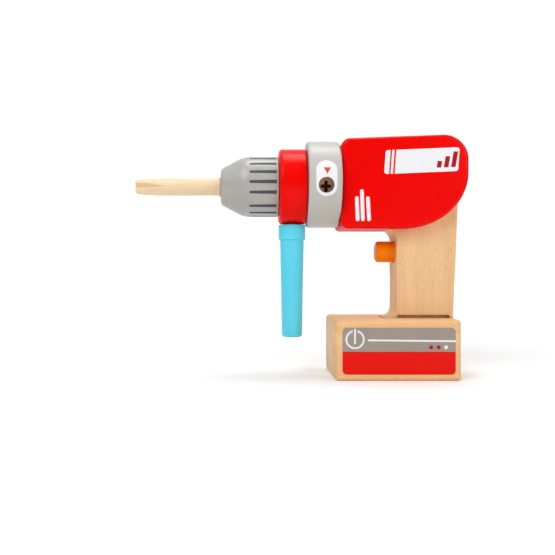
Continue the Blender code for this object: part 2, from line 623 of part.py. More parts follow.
def make_side_handle(paint, wood, collar):
    top = AXIS_Z - COLLAR_RADIUS - HANDLE_DROP
    bore = STUD_BITE + GAP
    edge = EDGE
    step = FLANGE_LENGTH
    profile = [(bore, 0.0), (bore, STUD_RADIUS + GAP), (0.0, STUD_RADIUS + GAP),
               (0.0, FLANGE_RADIUS - edge), (edge, FLANGE_RADIUS), (step - edge, FLANGE_RADIUS),
               (step, FLANGE_RADIUS - edge), (step, HANDLE_TOP_RADIUS)]
    profile += [(HANDLE_LENGTH - HANDLE_ROUND + a, HANDLE_END_RADIUS - HANDLE_ROUND + r)
                for a, r in arc((0, 0), HANDLE_ROUND, 90, 0, 3)]
    profile.append((HANDLE_LENGTH, 0.0))
    piece("side_handle", spun(profile, DOWN, INNER_SIDES), (COLLAR_MIDDLE, 0.0, top), paint, collar)
    start = AXIS_Z - COLLAR_RADIUS + STUD_BITE
    length = 2 * STUD_BITE + HANDLE_DROP
    piece("collar_stud", rod(STUD_RADIUS, length, DOWN, 24, EDGE),
          (COLLAR_MIDDLE, 0.0, start), wood, collar)


def chuck_outer():
    """Outer profile of the chuck from its flat nose, up the cone, to its rear face."""
    slope = CHUCK_CONE_ANGLE
    lean = math.radians(slope)
    shoulder_centre = (CHUCK_LENGTH - CHUCK_CYLINDER, CHUCK_RADIUS - CHUCK_SHOULDER_RADIUS)
    shoulder = arc(shoulder_centre, CHUCK_SHOULDER_RADIUS, 90 + slope, 90, 4)
    nose = CHUCK_NOSE_RADIUS
    nose_along = nose * (1.0 - math.sin(lean))
    run = shoulder[0][0] - nose_along
    nose_top = shoulder[0][1] - run * math.tan(lean)
    points = arc((nose, nose_top - nose * math.cos(lean)), nose, 180, 90 + slope, 3)
    return points + shoulder + [(CHUCK_LENGTH - EDGE, CHUCK_RADIUS), (CHUCK_LENGTH, CHUCK_RADIUS - EDGE)]


def make_chuck(material, turning):
    profile = [(WEB_START, BIT_RADIUS + GAP), (0.0, BIT_RADIUS + GAP)]
    profile += chuck_outer()
    profile += [(CHUCK_LENGTH, SPINDLE_BORE), (WEB_END, SPINDLE_BORE),
                (WEB_END, SCREW_RADIUS + GAP), (WEB_START, SCREW_RADIUS + GAP)]
    piece("chuck", spun(profile, X_AXIS, ROUND_SIDES), (CHUCK_FRONT, 0.0, AXIS_Z), material, turning)


def make_chuck_screw(material, drill):
    head = SCREW_HEAD_HEIGHT
    shank = SPINDLE_FRONT - CHUCK_FRONT - HEAD_START + SCREW_BITE
    dome = head / 2
    profile = [(0.0, 0.0), (0.0, SCREW_HEAD_RADIUS - dome), (dome, SCREW_HEAD_RADIUS),
               (head, SCREW_HEAD_RADIUS), (head, SCREW_RADIUS),
               (shank - 2 * SCREW_RADIUS, SCREW_RADIUS), (shank, 0.0)]
    piece("chuck_screw", spun(profile, X_AXIS, 16), (CHUCK_FRONT + HEAD_START, 0.0, AXIS_Z),
          material, drill)
    shape = tube(SCREW_RADIUS + GAP, SCREW_WASHER_RADIUS, SCREW_WASHER_THICKNESS, X_AXIS, 16)
    piece("screw_washer", shape, (CHUCK_FRONT + WASHER_START, 0.0, AXIS_Z), material, drill)


def make_bit(material, pulled):
    """A dowel with a rounded cross-point tip, a shoulder ring and a plain shank."""
    profile = [(0.0, 0.0)]
    for step in range(TAPER_STEPS + 1):
        share = step / TAPER_STEPS
        radius = BIT_TIP_RADIUS + (BIT_RADIUS - BIT_TIP_RADIUS) * math.sin(math.pi / 2 * share)
        profile.append((BIT_TAPER * share, radius))
    edge = EDGE
    ring = BIT_RADIUS + BIT_SHOULDER_STEP
    ring_end = BIT_REACH - GAP
    ring_start = ring_end - BIT_SHOULDER_WIDTH
    profile += [(ring_start, BIT_RADIUS), (ring_start, ring - edge),
                (ring_start + edge, ring), (ring_end, ring),
                (ring_end, BIT_RADIUS), (BIT_REACH + BIT_SHANK, BIT_RADIUS),
                (BIT_REACH + BIT_SHANK, 0.0)]
    made = piece("bit", spun(profile, X_AXIS, 32), (BIT_TIP, 0.0, AXIS_Z), material, pulled)
    for number in range(FLUTES):
        flute = bmesh.new()
        bmesh.ops.create_cone(flute, cap_ends=True, segments=4, radius1=BIT_RADIUS - FLUTE_CORE,
                              radius2=MERGE, depth=FLUTE_LENGTH)
        turn = X_AXIS.to_track_quat("Z", "Y").to_matrix()
        bmesh.ops.rotate(flute, verts=flute.verts[:], cent=(0, 0, 0), matrix=turn)
        angle = 2 * math.pi * number / FLUTES
        outward = Vector((0.0, -math.cos(angle), math.sin(angle)))
        middle = BIT_TIP + FLUTE_LENGTH / 2 - GAP
        cut(made, flute, Vector((middle, 0.0, AXIS_Z)) + outward * BIT_RADIUS)


def make_trigger(lacquer, metal, wood, drill, pressed):
    length = TRIGGER_OUT + TRIGGER_IN
    profile = [(0.0, 0.0)]
    profile += [(TRIGGER_ROUND + a, TRIGGER_RADIUS - TRIGGER_ROUND + r)
                for a, r in arc((0, 0), TRIGGER_ROUND, 180, 90, ROUND_STEPS)]
    profile += [(length - EDGE, TRIGGER_RADIUS), (length, TRIGGER_RADIUS - EDGE), (length, 0.0)]
    made = piece("trigger", spun(profile, X_AXIS, 32), (TRIGGER_TIP, 0.0, TRIGGER_Z), lacquer, pressed)
    half = TRIGGER_PIN_RADIUS + GAP
    wide = 2 * TRIGGER_RADIUS
    cut(made, block((TRIGGER_PIN_X - half - TRIGGER_TRAVEL, -wide, TRIGGER_Z - half),
                    (TRIGGER_PIN_X + half, wide, TRIGGER_Z + half)))
    spring("trigger_spring", TRIGGER_SPRING_RADIUS, TRIGGER_SPRING_LENGTH, COIL_TURNS,
           (TRIGGER_END + GAP, 0.0, TRIGGER_Z), X_AXIS, metal, drill)
    pin = rod(TRIGGER_PIN_RADIUS, GRIP_THICKNESS - TRIGGER_PIN_COVER, -Y_AXIS, 16)
    piece("trigger_pin", pin, (TRIGGER_PIN_X, HALF_GRIP, TRIGGER_Z), wood, drill)


def main():
    clear_scene()
    red = finish_material("red_paint", (0.78, 0.012, 0.008), 0.35)
    grey = finish_material("grey_paint", (0.52, 0.51, 0.47), 0.45)
    blue = finish_material("blue_paint", (0.12, 0.60, 0.80), 0.40)
    orange = finish_material("orange_lacquer", (0.95, 0.20, 0.01), 0.25)
    beech = finish_material("beech", (0.78, 0.50, 0.26), 0.50)
    birch = finish_material("birch", (0.86, 0.68, 0.45), 0.55)
    steel = finish_material("steel", (0.60, 0.60, 0.62), 0.30, 1.0)
    fibre = finish_material("fibre", (0.20, 0.17, 0.14), 0.80)

    drill = joint_empty("drill_lift", (GRIP_FRONT, 0.0, BLOCK_HEIGHT))
    turning = joint_empty("chuck_turn", (CHUCK_REAR, 0.0, AXIS_Z))
    pulled = joint_empty("bit_pull", (CHUCK_FRONT, 0.0, AXIS_Z))
    collar = joint_empty("collar_turn", (COLLAR_MIDDLE, 0.0, AXIS_Z))
    pressed = joint_empty("trigger_press", (GRIP_FRONT, 0.0, TRIGGER_Z))

    make_battery_block(beech)
    make_grip(beech, drill)
    make_cheek("cheek_near", -1, red, drill)
    make_cheek("cheek_far", 1, red, drill)
    make_body_core(red, drill)
    make_dowels(birch, drill)
    make_selector_ring(grey, drill)
    make_ring_dowels(birch, drill)
    make_spindle(birch, drill)
    make_washers(fibre, drill)
    make_detent(steel, drill)
    make_symbol_drum(beech, collar)
    make_nose_collar(red, collar)
    make_side_handle(blue, birch, collar)
    make_chuck(grey, turning)
    make_chuck_screw(steel, drill)
    make_bit(birch, pulled)
    make_trigger(orange, steel, birch, drill, pressed)


main()
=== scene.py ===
"""The looks of the toy power drill: painted, printed and plain wood on a pale studio floor.

Metres, +Z up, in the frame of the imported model. The bit points along -X, and the printed side
faces -Y. Each piece is built here in finer detail than its solid, in the solid's own place.
"""

import json
import math

import bmesh
import bpy
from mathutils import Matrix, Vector


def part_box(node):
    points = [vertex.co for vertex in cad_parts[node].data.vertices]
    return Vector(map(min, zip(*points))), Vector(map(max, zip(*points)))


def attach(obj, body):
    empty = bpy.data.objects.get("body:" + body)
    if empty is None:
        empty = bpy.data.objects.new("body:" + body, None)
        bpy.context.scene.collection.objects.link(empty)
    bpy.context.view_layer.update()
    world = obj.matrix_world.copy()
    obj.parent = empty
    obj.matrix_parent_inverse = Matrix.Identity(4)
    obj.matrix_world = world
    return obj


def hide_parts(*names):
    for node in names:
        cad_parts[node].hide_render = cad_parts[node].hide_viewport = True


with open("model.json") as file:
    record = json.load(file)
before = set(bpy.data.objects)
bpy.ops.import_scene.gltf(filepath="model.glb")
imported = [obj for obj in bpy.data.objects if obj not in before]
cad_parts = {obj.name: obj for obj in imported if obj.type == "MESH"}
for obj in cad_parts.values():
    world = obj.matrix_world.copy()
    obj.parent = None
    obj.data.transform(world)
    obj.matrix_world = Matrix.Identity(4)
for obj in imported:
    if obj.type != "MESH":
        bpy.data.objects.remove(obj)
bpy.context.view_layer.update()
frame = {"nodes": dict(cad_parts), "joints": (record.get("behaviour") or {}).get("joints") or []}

MM = 0.001
MERGE = 0.002 * MM                # points nearer than this count as one
SHARP = math.radians(32.0)        # edges that turn more than this stay crisp
QUARTER = math.radians(90)
BIG_SIDES = 128                   # round the big turned pieces
HANDLE_SIDES = 96                 # round the side handle
SMALL_SIDES = 64                  # round the small pieces and the drilled holes
PIN_SIDES = 32                    # round the trigger's pin
BIT_SIDES = 160                   # round the bit, so that its flutes come out smooth
X_AXIS = Vector((1.0, 0.0, 0.0))
Y_AXIS = Vector((0.0, 1.0, 0.0))
Z_AXIS = Vector((0.0, 0.0, 1.0))

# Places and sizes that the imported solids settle
BLOCK_LOW, BLOCK_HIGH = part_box("battery_block")
GRIP_LOW, GRIP_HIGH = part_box("grip")
CHEEK_LOW, CHEEK_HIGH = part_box("cheek_near")
RING_LOW, RING_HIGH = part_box("selector_ring")
DRUM_LOW, DRUM_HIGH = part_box("symbol_drum")
COLLAR_LOW, COLLAR_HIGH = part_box("nose_collar")
HANDLE_LOW, HANDLE_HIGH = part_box("side_handle")
STUD_LOW, STUD_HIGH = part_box("collar_stud")
CHUCK_LOW, CHUCK_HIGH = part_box("chuck")
SPINDLE_LOW, SPINDLE_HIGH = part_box("spindle")
BIT_LOW, BIT_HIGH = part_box("bit")
TRIGGER_LOW, TRIGGER_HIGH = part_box("trigger")
PIN_LOW, PIN_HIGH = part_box("trigger_pin")
WASHER_LOW, WASHER_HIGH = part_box("front_thrust_washer")
BALL_LOW, BALL_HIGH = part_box("detent_ball")

AXIS_Z = (CHUCK_LOW.z + CHUCK_HIGH.z) / 2
RING_Z = (RING_LOW.z + RING_HIGH.z) / 2
BALL_Z = (BALL_LOW.z + BALL_HIGH.z) / 2
BALL_RADIUS = (BALL_HIGH.z - BALL_LOW.z) / 2
WASHER_RADIUS = (WASHER_HIGH.z - WASHER_LOW.z) / 2
STUD_X = (STUD_LOW.x + STUD_HIGH.x) / 2
STUD_RADIUS = (STUD_HIGH.x - STUD_LOW.x) / 2
PIN_MIDDLE = (PIN_LOW + PIN_HIGH) / 2
PIN_RADIUS = (PIN_HIGH.x - PIN_LOW.x) / 2
GAP = 0.3 * MM                    # between pieces that turn, slide or sit in each other
SEAM = 0.03 * MM                  # between boards that are glued together


# ---------------------------------------------------------------- shapes

def arc(centre, radius, start, stop, steps):
    """Points on an arc from start to stop degrees, both ends included."""
    angles = [math.radians(start + (stop - start) * i / steps) for i in range(steps + 1)]
    return [(centre[0] + radius * math.cos(a), centre[1] + radius * math.sin(a)) for a in angles]


def rounded_in(along, radius, size, steps):
    """Profile points that round the edge where a turned piece, or a step on it, starts."""
    return arc((along + size, radius - size), size, 180, 90, steps)


def rounded_out(along, radius, size, steps):
    """Profile points that round the edge where it ends."""
    return arc((along - size, radius - size), size, 90, 0, steps)


def turned(profile, place, direction=X_AXIS, sides=BIG_SIDES):
    """Spin the profile [(distance along, radius), ...] about the direction through the place."""
    shape = bmesh.new()
    points = [shape.verts.new((radius, 0.0, along)) for along, radius in profile]
    edges = [shape.edges.new(pair) for pair in zip(points, points[1:])]
    if profile[0][1] > 0.0:
        edges.append(shape.edges.new((points[-1], points[0])))
    bmesh.ops.spin(shape, geom=points + edges, cent=(0, 0, 0), axis=(0, 0, 1),
                   angle=2 * math.pi, steps=sides, use_merge=True)
    bmesh.ops.remove_doubles(shape, verts=shape.verts[:], dist=MERGE)
    bmesh.ops.recalc_face_normals(shape, faces=shape.faces[:])
    turn = direction.to_track_quat("Z", "Y").to_matrix()
    bmesh.ops.rotate(shape, verts=shape.verts[:], cent=(0, 0, 0), matrix=turn)
    bmesh.ops.translate(shape, verts=shape.verts[:], vec=place)
    return shape


def rod(radius, length, place, direction):
    """A plain round rod, used to drill holes."""
    profile = [(0.0, 0.0), (0.0, radius), (length, radius), (length, 0.0)]
    return turned(profile, place, direction, SMALL_SIDES)


def block(low, high):
    """A box between two corners."""
    shape = bmesh.new()
    bmesh.ops.create_cube(shape, size=1.0)
    low, high = Vector(low), Vector(high)
    bmesh.ops.scale(shape, vec=high - low, verts=shape.verts[:])
    bmesh.ops.translate(shape, vec=(low + high) / 2, verts=shape.verts[:])
    return shape


def round_edges(shape, edges, radius, steps):
    """Round some of a shape's edges."""
    bmesh.ops.bevel(shape, geom=edges, offset=radius, offset_type="OFFSET", segments=steps,
                    profile=0.5, affect="EDGES", clamp_overlap=True, material=-1)


def thicken(shape, distance):
    """Give the flat faces of a shape a thickness along Y."""
    grown = bmesh.ops.extrude_face_region(shape, geom=shape.faces[:])["geom"]
    moved = [part for part in grown if isinstance(part, bmesh.types.BMVert)]
    bmesh.ops.translate(shape, vec=(0.0, distance, 0.0), verts=moved)
    bmesh.ops.recalc_face_normals(shape, faces=shape.faces[:])
    return shape


def board(outline, near, far):
    """The outline [(x, z), ...] as a board between Y = near and Y = far."""
    shape = bmesh.new()
    shape.faces.new([shape.verts.new((x, near, z)) for x, z in outline])
    return thicken(shape, far - near)


def rim(shape, y):
    """The edges of a board's rim on its face at y."""
    return [edge for edge in shape.edges if all(abs(v.co.y - y) < MERGE for v in edge.verts)]


def placed(name, data):
    """A new object in the scene."""
    made = bpy.data.objects.new(name, data)
    bpy.context.collection.objects.link(made)
    return made


def meshed(name, shape):
    """A new mesh of a shape, which is used up."""
    mesh = bpy.data.meshes.new(name)
    shape.to_mesh(mesh)
    shape.free()
    return mesh


def carved(shape, *cutters):
    """The shape with the cutters' volumes taken out of it."""
    objects = [placed("carving", meshed("carving", part)) for part in (shape, *cutters)]
    for cutter in objects[1:]:
        boolean = objects[0].modifiers.new("cut", "BOOLEAN")
        boolean.operation = "DIFFERENCE"
        boolean.solver = "EXACT"
        boolean.object = cutter
    result = bmesh.new()
    result.from_object(objects[0], bpy.context.evaluated_depsgraph_get())
    for used in objects:
        bpy.data.objects.remove(used)
    bmesh.ops.dissolve_degenerate(result, dist=MERGE, edges=result.edges[:])
    return result


def finished(name, shape, body, slot, material, *nodes):
    """Make a piece of a shape: it rides on the body, and stands for the CAD nodes."""
    mesh = meshed(name, shape)
    mesh.shade_smooth()
    mesh.set_sharp_from_angle(angle=SHARP)
    mesh.materials.append(material)
    made = placed(name, mesh)
    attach(made, body)
    if nodes:
        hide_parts(*nodes)


# ---------------------------------------------------------------- print

INK = 0.04 * MM                   # how far print stands out of what it is printed on
INK_ROOT = 0.02 * MM              # and how far it reaches in
WRAP_STEP = 0.8 * MM              # height of the strips that print on a curve is cut into


def ink(*loops):
    """Flat faces at Y = 0 inside the first closed loop [(x, z), ...], less the others."""
    shape = bmesh.new()
    edges = []
    for loop in loops:
        points = [shape.verts.new((x, 0.0, z)) for x, z in loop]
        edges += [shape.edges.new(pair) for pair in zip(points, points[1:] + points[:1])]
    bmesh.ops.triangle_fill(shape, use_beauty=True, use_dissolve=False, edges=edges)
    return shape


def together(shapes):
    """Several shapes as one."""
    mesh = bpy.data.meshes.new("gather")
    whole = bmesh.new()
    for shape in shapes:
        shape.to_mesh(mesh)
        whole.from_mesh(mesh)
        shape.free()
    bpy.data.meshes.remove(mesh)
    return whole


def on_round(shape, radius, axis_z, turn=0.0, lift=0.0):
    """Wrap the flat shape on a cylinder along X: its z runs up the side from turn degrees."""
    heights = [v.co.z for v in shape.verts]
    low, tall = min(heights), max(heights) - min(heights)
    rules = int(tall / WRAP_STEP)
    for rule in range(1, rules):
        height = low + tall * rule / rules
        bmesh.ops.bisect_plane(shape, geom=shape.verts[:] + shape.edges[:] + shape.faces[:],
                               dist=MERGE, plane_co=(0.0, 0.0, height), plane_no=(0, 0, 1))
    thicken(shape, -(INK + INK_ROOT))
    for vert in shape.verts:
        angle = math.radians(turn) + vert.co.z / radius
        out = radius + lift - INK_ROOT - vert.co.y
        vert.co = (vert.co.x, -out * math.cos(angle), axis_z + out * math.sin(angle))
    bmesh.ops.recalc_face_normals(shape, faces=shape.faces[:])
    return shape


def stroke(start, end, width, steps=8):
    """Outline of a round-ended stroke between two points."""
    a, b = Vector(start), Vector(end)
    heading = math.degrees(math.atan2((b - a).y, (b - a).x))
    return (arc(a, width / 2, heading + 90, heading + 270, steps)
            + arc(b, width / 2, heading - 90, heading + 90, steps))


def with_round_corners(corners, radii, steps=6):
    """Outline of a convex patch with its corners rounded."""
    points = []
    count = len(corners)
    for i, radius in enumerate(radii):
        at = Vector(corners[i])
        back = (Vector(corners[i - 1]) - at).normalized()
        ahead = (Vector(corners[(i + 1) % count]) - at).normalized()
        if radius == 0.0:
            points.append(tuple(at))
            continue
        half = back.angle(ahead) / 2
        middle = at + (back + ahead).normalized() * radius / math.sin(half)
        start = at + back * radius / math.tan(half) - middle
        stop = at + ahead * radius / math.tan(half) - middle
        swing = start.angle_signed(stop)
        from_angle = math.degrees(math.atan2(start.y, start.x))
        points += arc(middle, radius, from_angle, from_angle - math.degrees(swing), steps)
    return points


# ---------------------------------------------------------------- node groups

EVEN = (1.0, 1.0, 1.0)            # a pattern that isn't stretched along any axis


def add(tree, kind, **values):
    """A new node with its settings."""
    made = tree.nodes.new(kind)
    for name, value in values.items():
        setattr(made, name, value)
    return made


def put(tree, part, socket):
    """Give a node's input a part, which is another node's output or a plain value."""
    if isinstance(part, bpy.types.NodeSocket):
        tree.links.new(part, socket)
    else:
        socket.default_value = part


def feed(tree, node, **parts):
    """Put each part in the node's input that has its name, and hand back the outputs."""
    for name, part in parts.items():
        put(tree, part, node.inputs[name.replace("_", " ")])
    return node.outputs


def group(name, inputs, outputs):
    """A shader node group with named sockets, and its two end nodes."""
    tree = bpy.data.node_groups.new(name, "ShaderNodeTree")
    for label, kind, value in inputs:
        socket = tree.interface.new_socket(name=label, in_out="INPUT", socket_type=kind)
        if value is not None:
            socket.default_value = value
    for label in outputs:
        tree.interface.new_socket(name=label, in_out="OUTPUT", socket_type="NodeSocketFloat")
    return tree, add(tree, "NodeGroupInput"), add(tree, "NodeGroupOutput")


def noise(tree, vector, stretch, scale, detail=3.0, roughness=0.5):
    """Noise in a vector that is first stretched along one or more axes."""
    drawn = feed(tree, add(tree, "ShaderNodeMapping"), Vector=vector, Scale=stretch)["Vector"]
    return feed(tree, add(tree, "ShaderNodeTexNoise"), Vector=drawn, Scale=scale, Detail=detail,
                Roughness=roughness)["Fac"]


def spread(tree, value, low, high, to_low=0.0, to_high=1.0):
    """A value's stretch from low to high, as a new one."""
    made = add(tree, "ShaderNodeMapRange", clamp=True)
    return feed(tree, made, Value=value, From_Min=low, From_Max=high, To_Min=to_low,
                To_Max=to_high)["Result"]


def sum_up(tree, operation, first, second):
    """First and second, each a value or a number, put through a sum."""
    made = add(tree, "ShaderNodeMath", operation=operation)
    put(tree, first, made.inputs[0])
    put(tree, second, made.inputs[1])
    return made.outputs["Value"]


def wood_figure():
    """Streaks and bands along X, with short flecks and fine pores, as in planed beech."""
    tree, ends, out = group("wood figure", [("Vector", "NodeSocketVector", None),
                                            ("Flecks", "NodeSocketFloat", 0.5)],
                            ["Figure", "Flecks", "Height"])
    vector = ends.outputs["Vector"]
    streaks = noise(tree, vector, (0.04, 1.0, 1.0), 620.0, 6.0, 0.66)
    bands = noise(tree, vector, (0.025, 1.0, 1.0), 85.0, 2.0)
    both = sum_up(tree, "ADD", sum_up(tree, "MULTIPLY", streaks, 0.55),
                  sum_up(tree, "MULTIPLY", bands, 0.45))
    figure = spread(tree, both, 0.38, 0.62)
    rays = spread(tree, noise(tree, vector, (0.14, 1.0, 1.0), 2300.0, 1.0), 0.60, 0.72)
    flecks = sum_up(tree, "MULTIPLY", rays, ends.outputs["Flecks"])
    pores = spread(tree, noise(tree, vector, (0.08, 1.0, 1.0), 5200.0, 2.0), 0.52, 0.70)
    height = sum_up(tree, "SUBTRACT", sum_up(tree, "MULTIPLY", figure, 0.3),
                    sum_up(tree, "ADD", flecks, sum_up(tree, "MULTIPLY", pores, 0.5)))
    flecks = sum_up(tree, "ADD", flecks, sum_up(tree, "MULTIPLY", pores, 0.25))
    feed(tree, out, Figure=figure, Flecks=flecks, Height=height)
    return tree


def paint_film():
    """A sprayed coat on wood: soft cloudiness, orange peel, and grain that shows through."""
    tree, ends, out = group("paint film", [("Vector", "NodeSocketVector", None),
                                           ("Grain", "NodeSocketFloat", 0.5)],
                            ["Cloud", "Height"])
    vector = ends.outputs["Vector"]
    cloud = spread(tree, noise(tree, vector, EVEN, 45.0, 5.0, 0.6), 0.30, 0.70)
    peel = noise(tree, vector, EVEN, 1100.0, 1.0)
    grain = noise(tree, vector, (0.06, 1.0, 1.0), 900.0, 4.0, 0.6)
    height = sum_up(tree, "ADD", peel, sum_up(tree, "MULTIPLY", grain, ends.outputs["Grain"]))
    feed(tree, out, Cloud=cloud, Height=height)
    return tree


def rubbed_and_highlit_edges():
    """A mask along the outer edges and corners, broken up where hands rub them: it lightens edges
    as wear and as a painted highlight.
    """
    tree, ends, out = group("rubbed and highlit edges", [("Vector", "NodeSocketVector", None),
                                             ("Reach", "NodeSocketFloat", 1.0 * MM)], ["Mask"])
    bevel = feed(tree, add(tree, "ShaderNodeBevel", samples=4), Radius=ends.outputs["Reach"])
    geometry = add(tree, "ShaderNodeNewGeometry")
    likeness = add(tree, "ShaderNodeVectorMath", operation="DOT_PRODUCT")
    tree.links.new(bevel["Normal"], likeness.inputs[0])
    tree.links.new(geometry.outputs["Normal"], likeness.inputs[1])
    edge = spread(tree, likeness.outputs["Value"], 0.995, 0.90)
    patches = noise(tree, ends.outputs["Vector"], EVEN, 320.0, 4.0)
    breaks = spread(tree, patches, 0.35, 0.6)
    feed(tree, out, Mask=sum_up(tree, "MULTIPLY", edge, breaks))
    return tree


WOOD_FIGURE = wood_figure()
PAINT_FILM = paint_film()
RUBBED_AND_HIGHLIT_EDGES = rubbed_and_highlit_edges()


# ---------------------------------------------------------------- materials

TURNS = {"X": (0.0, 0.0, 0.0), "Y": (0.0, 0.0, QUARTER), "Z": (0.0, QUARTER, 0.0)}


class Finish:
    """A material under construction: its nodes, its shader and the pattern's coordinates."""

    def __init__(self, name, grain="X"):
        self.material = bpy.data.materials.new(name)
        self.material.use_nodes = True
        self.tree = self.material.node_tree
        self.shader = self.tree.nodes["Principled BSDF"]
        place = add(self.tree, "ShaderNodeTexCoord").outputs["Object"]
        mapping = add(self.tree, "ShaderNodeMapping")
        self.vector = feed(self.tree, mapping, Vector=place, Rotation=TURNS[grain])["Vector"]

    def set(self, **values):
        """Put values or sockets in the shader, with the spaces in names as underscores."""
        feed(self.tree, self.shader, **values)

    def effect(self, tree, **values):
        """Place a node group, fed with the pattern's coordinates."""
        made = add(self.tree, "ShaderNodeGroup", node_tree=tree)
        return feed(self.tree, made, Vector=self.vector, **values)

    def mix(self, factor, first, second):
        """A colour between first and second, each a colour or a socket."""
        made = add(self.tree, "ShaderNodeMix", data_type="RGBA")
        feed(self.tree, made, Factor=factor)
        for socket, part in ((made.inputs[6], first), (made.inputs[7], second)):
            put(self.tree, (*part, 1.0) if isinstance(part, tuple) else part, socket)
        return made.outputs[2]

    def colour(self, socket):
        """Use a colour as the surface's own."""
        self.set(Base_Color=socket)

    def roughness(self, value, low, high):
        """Let the roughness run from low to high as a mask does from 0 to 1."""
        self.set(Roughness=spread(self.tree, value, 0.0, 1.0, low, high))

    def bump(self, height, strength, distance):
        """Raise and sink the surface by a height."""
        made = feed(self.tree, add(self.tree, "ShaderNodeBump"), Height=height,
                    Strength=strength, Distance=distance)
        self.set(Normal=made["Normal"])


def bare_wood(name, pale, deep, fleck, grain, flecks):
    """Sanded wood under a thin satin oil."""
    finish = Finish(name, grain)
    figure = finish.effect(WOOD_FIGURE, Flecks=flecks)
    wear_and_highlight = finish.effect(RUBBED_AND_HIGHLIT_EDGES, Reach=0.8 * MM)
    body = finish.mix(figure["Figure"], pale, deep)
    body = finish.mix(figure["Flecks"], body, fleck)
    # Edges lighten towards a paler tone: rubbed wood and a painted highlight.
    lighter = tuple(min(1.0, part * 1.12) for part in pale)
    finish.colour(finish.mix(sum_up(finish.tree, "MULTIPLY", wear_and_highlight["Mask"], 0.35), body, lighter))
    finish.roughness(figure["Figure"], 0.42, 0.55)
    finish.bump(figure["Height"], 0.25, 0.08 * MM)
    finish.set(Specular_IOR_Level=0.42)
    return finish.material


def painted(name, colour, cloudy, edge, roughness=(0.26, 0.36), grain="X", shine=0.4):
    """Satin paint on wood, lighter along the edges: paint that thins there, and a painted
    highlight.
    """
    finish = Finish(name, grain)
    film = finish.effect(PAINT_FILM, Grain=0.5)
    wear_and_highlight = finish.effect(RUBBED_AND_HIGHLIT_EDGES, Reach=0.9 * MM)
    body = finish.mix(film["Cloud"], colour, cloudy)
    # The edge colour is thinned paint and a painted highlight along the rounded edges.
    finish.colour(finish.mix(sum_up(finish.tree, "MULTIPLY", wear_and_highlight["Mask"], 0.55), body, edge))
    finish.roughness(film["Cloud"], *roughness)
    finish.bump(film["Height"], 0.12, 0.05 * MM)
    finish.set(Specular_IOR_Level=shine)
    return finish.material


def printed(name, colour, worn):
    """Screen-printed ink, a little uneven where the screen let less through."""
    finish = Finish(name)
    film = finish.effect(PAINT_FILM, Grain=0.8)
    dots = noise(finish.tree, finish.vector, EVEN, 2600.0, 2.0)
    specks = spread(finish.tree, dots, 0.60, 0.75)
    body = finish.mix(film["Cloud"], colour, worn)
    finish.colour(finish.mix(sum_up(finish.tree, "MULTIPLY", specks, 0.3), body, worn))
    finish.roughness(film["Cloud"], 0.42, 0.52)
    finish.bump(film["Height"], 0.15, 0.04 * MM)
    finish.set(Specular_IOR_Level=0.15)
    return finish.material


def metal(name, colour, smooth, rough):
    """Plated steel with fine drawing lines."""
    finish = Finish(name)
    lines = noise(finish.tree, finish.vector, (0.05, 1.0, 1.0), 4000.0, 3.0)
    finish.colour(finish.mix(lines, colour, tuple(part * 0.7 for part in colour)))
    finish.roughness(lines, smooth, rough)
    finish.set(Metallic=1.0)
    finish.bump(lines, 0.1, 0.02 * MM)
    return finish.material


def pressed_fibre(name, pale, deep):
    """Hard washer fibre: matted strands in a dark binder."""
    finish = Finish(name)
    matted = noise(finish.tree, finish.vector, (1.0, 0.25, 1.0), 2200.0, 5.0)
    strands = spread(finish.tree, matted, 0.35, 0.65)
    finish.colour(finish.mix(strands, pale, deep))
    finish.roughness(strands, 0.75, 0.9)
    finish.bump(strands, 0.4, 0.05 * MM)
    return finish.material


# Each paint's third colour is its edge colour: thinned paint and a painted highlight.
RED = painted("red paint", (0.88, 0.002, 0.001), (0.84, 0.002, 0.001), (0.95, 0.03, 0.015),
              roughness=(0.22, 0.30), shine=0.09)
RING_GREY = painted("ring grey paint", (0.55, 0.54, 0.51), (0.51, 0.50, 0.47), (0.66, 0.65, 0.62),
                    shine=0.25)
CHUCK_GREY = painted("chuck grey paint", (0.45, 0.44, 0.41), (0.41, 0.40, 0.37),
                     (0.55, 0.54, 0.52))
BLUE = painted("light blue paint", (0.13, 0.72, 0.92), (0.115, 0.68, 0.87), (0.25, 0.76, 0.90),
               grain="Z", shine=0.15)
ORANGE = painted("orange lacquer", (1.0, 0.25, 0.001), (0.96, 0.20, 0.001), (1.0, 0.36, 0.05),
                 roughness=(0.18, 0.26), shine=0.08)
GRIP_WOOD = bare_wood("grip beech", (0.90, 0.58, 0.31), (0.81, 0.49, 0.235),
                      (0.60, 0.33, 0.145), "Z", 0.6)
BLOCK_WOOD = bare_wood("block beech", (0.95, 0.60, 0.30), (0.84, 0.49, 0.22),
                       (0.62, 0.33, 0.13), "X", 0.4)
DRUM_WOOD = bare_wood("drum beech", (0.98, 0.54, 0.28), (0.86, 0.42, 0.19),
                      (0.58, 0.26, 0.10), "X", 0.5)
BIRCH_TONES = ((0.90, 0.71, 0.47), (0.82, 0.60, 0.36), (0.68, 0.45, 0.24))
BIRCH = bare_wood("birch", *BIRCH_TONES, "X", 0.25)
END_BIRCH = bare_wood("birch across", *BIRCH_TONES, "Y", 0.25)
UPRIGHT_BIRCH = bare_wood("upright birch", *BIRCH_TONES, "Z", 0.25)
WHITE_INK = printed("white ink", (0.87, 0.89, 0.91), (0.83, 0.85, 0.87))
SLATE_INK = printed("slate ink", (0.055, 0.068, 0.078), (0.085, 0.10, 0.11))
RED_INK = printed("red ink", (0.85, 0.004, 0.001), (0.82, 0.006, 0.002))
DEEP_RED_INK = printed("deep red ink", (0.40, 0.004, 0.010), (0.46, 0.01, 0.015))
ORANGE_RED_INK = printed("orange-red ink", (0.80, 0.06, 0.015), (0.85, 0.10, 0.04))
GREY_INK = printed("warm grey ink", (0.37, 0.325, 0.28), (0.34, 0.295, 0.25))
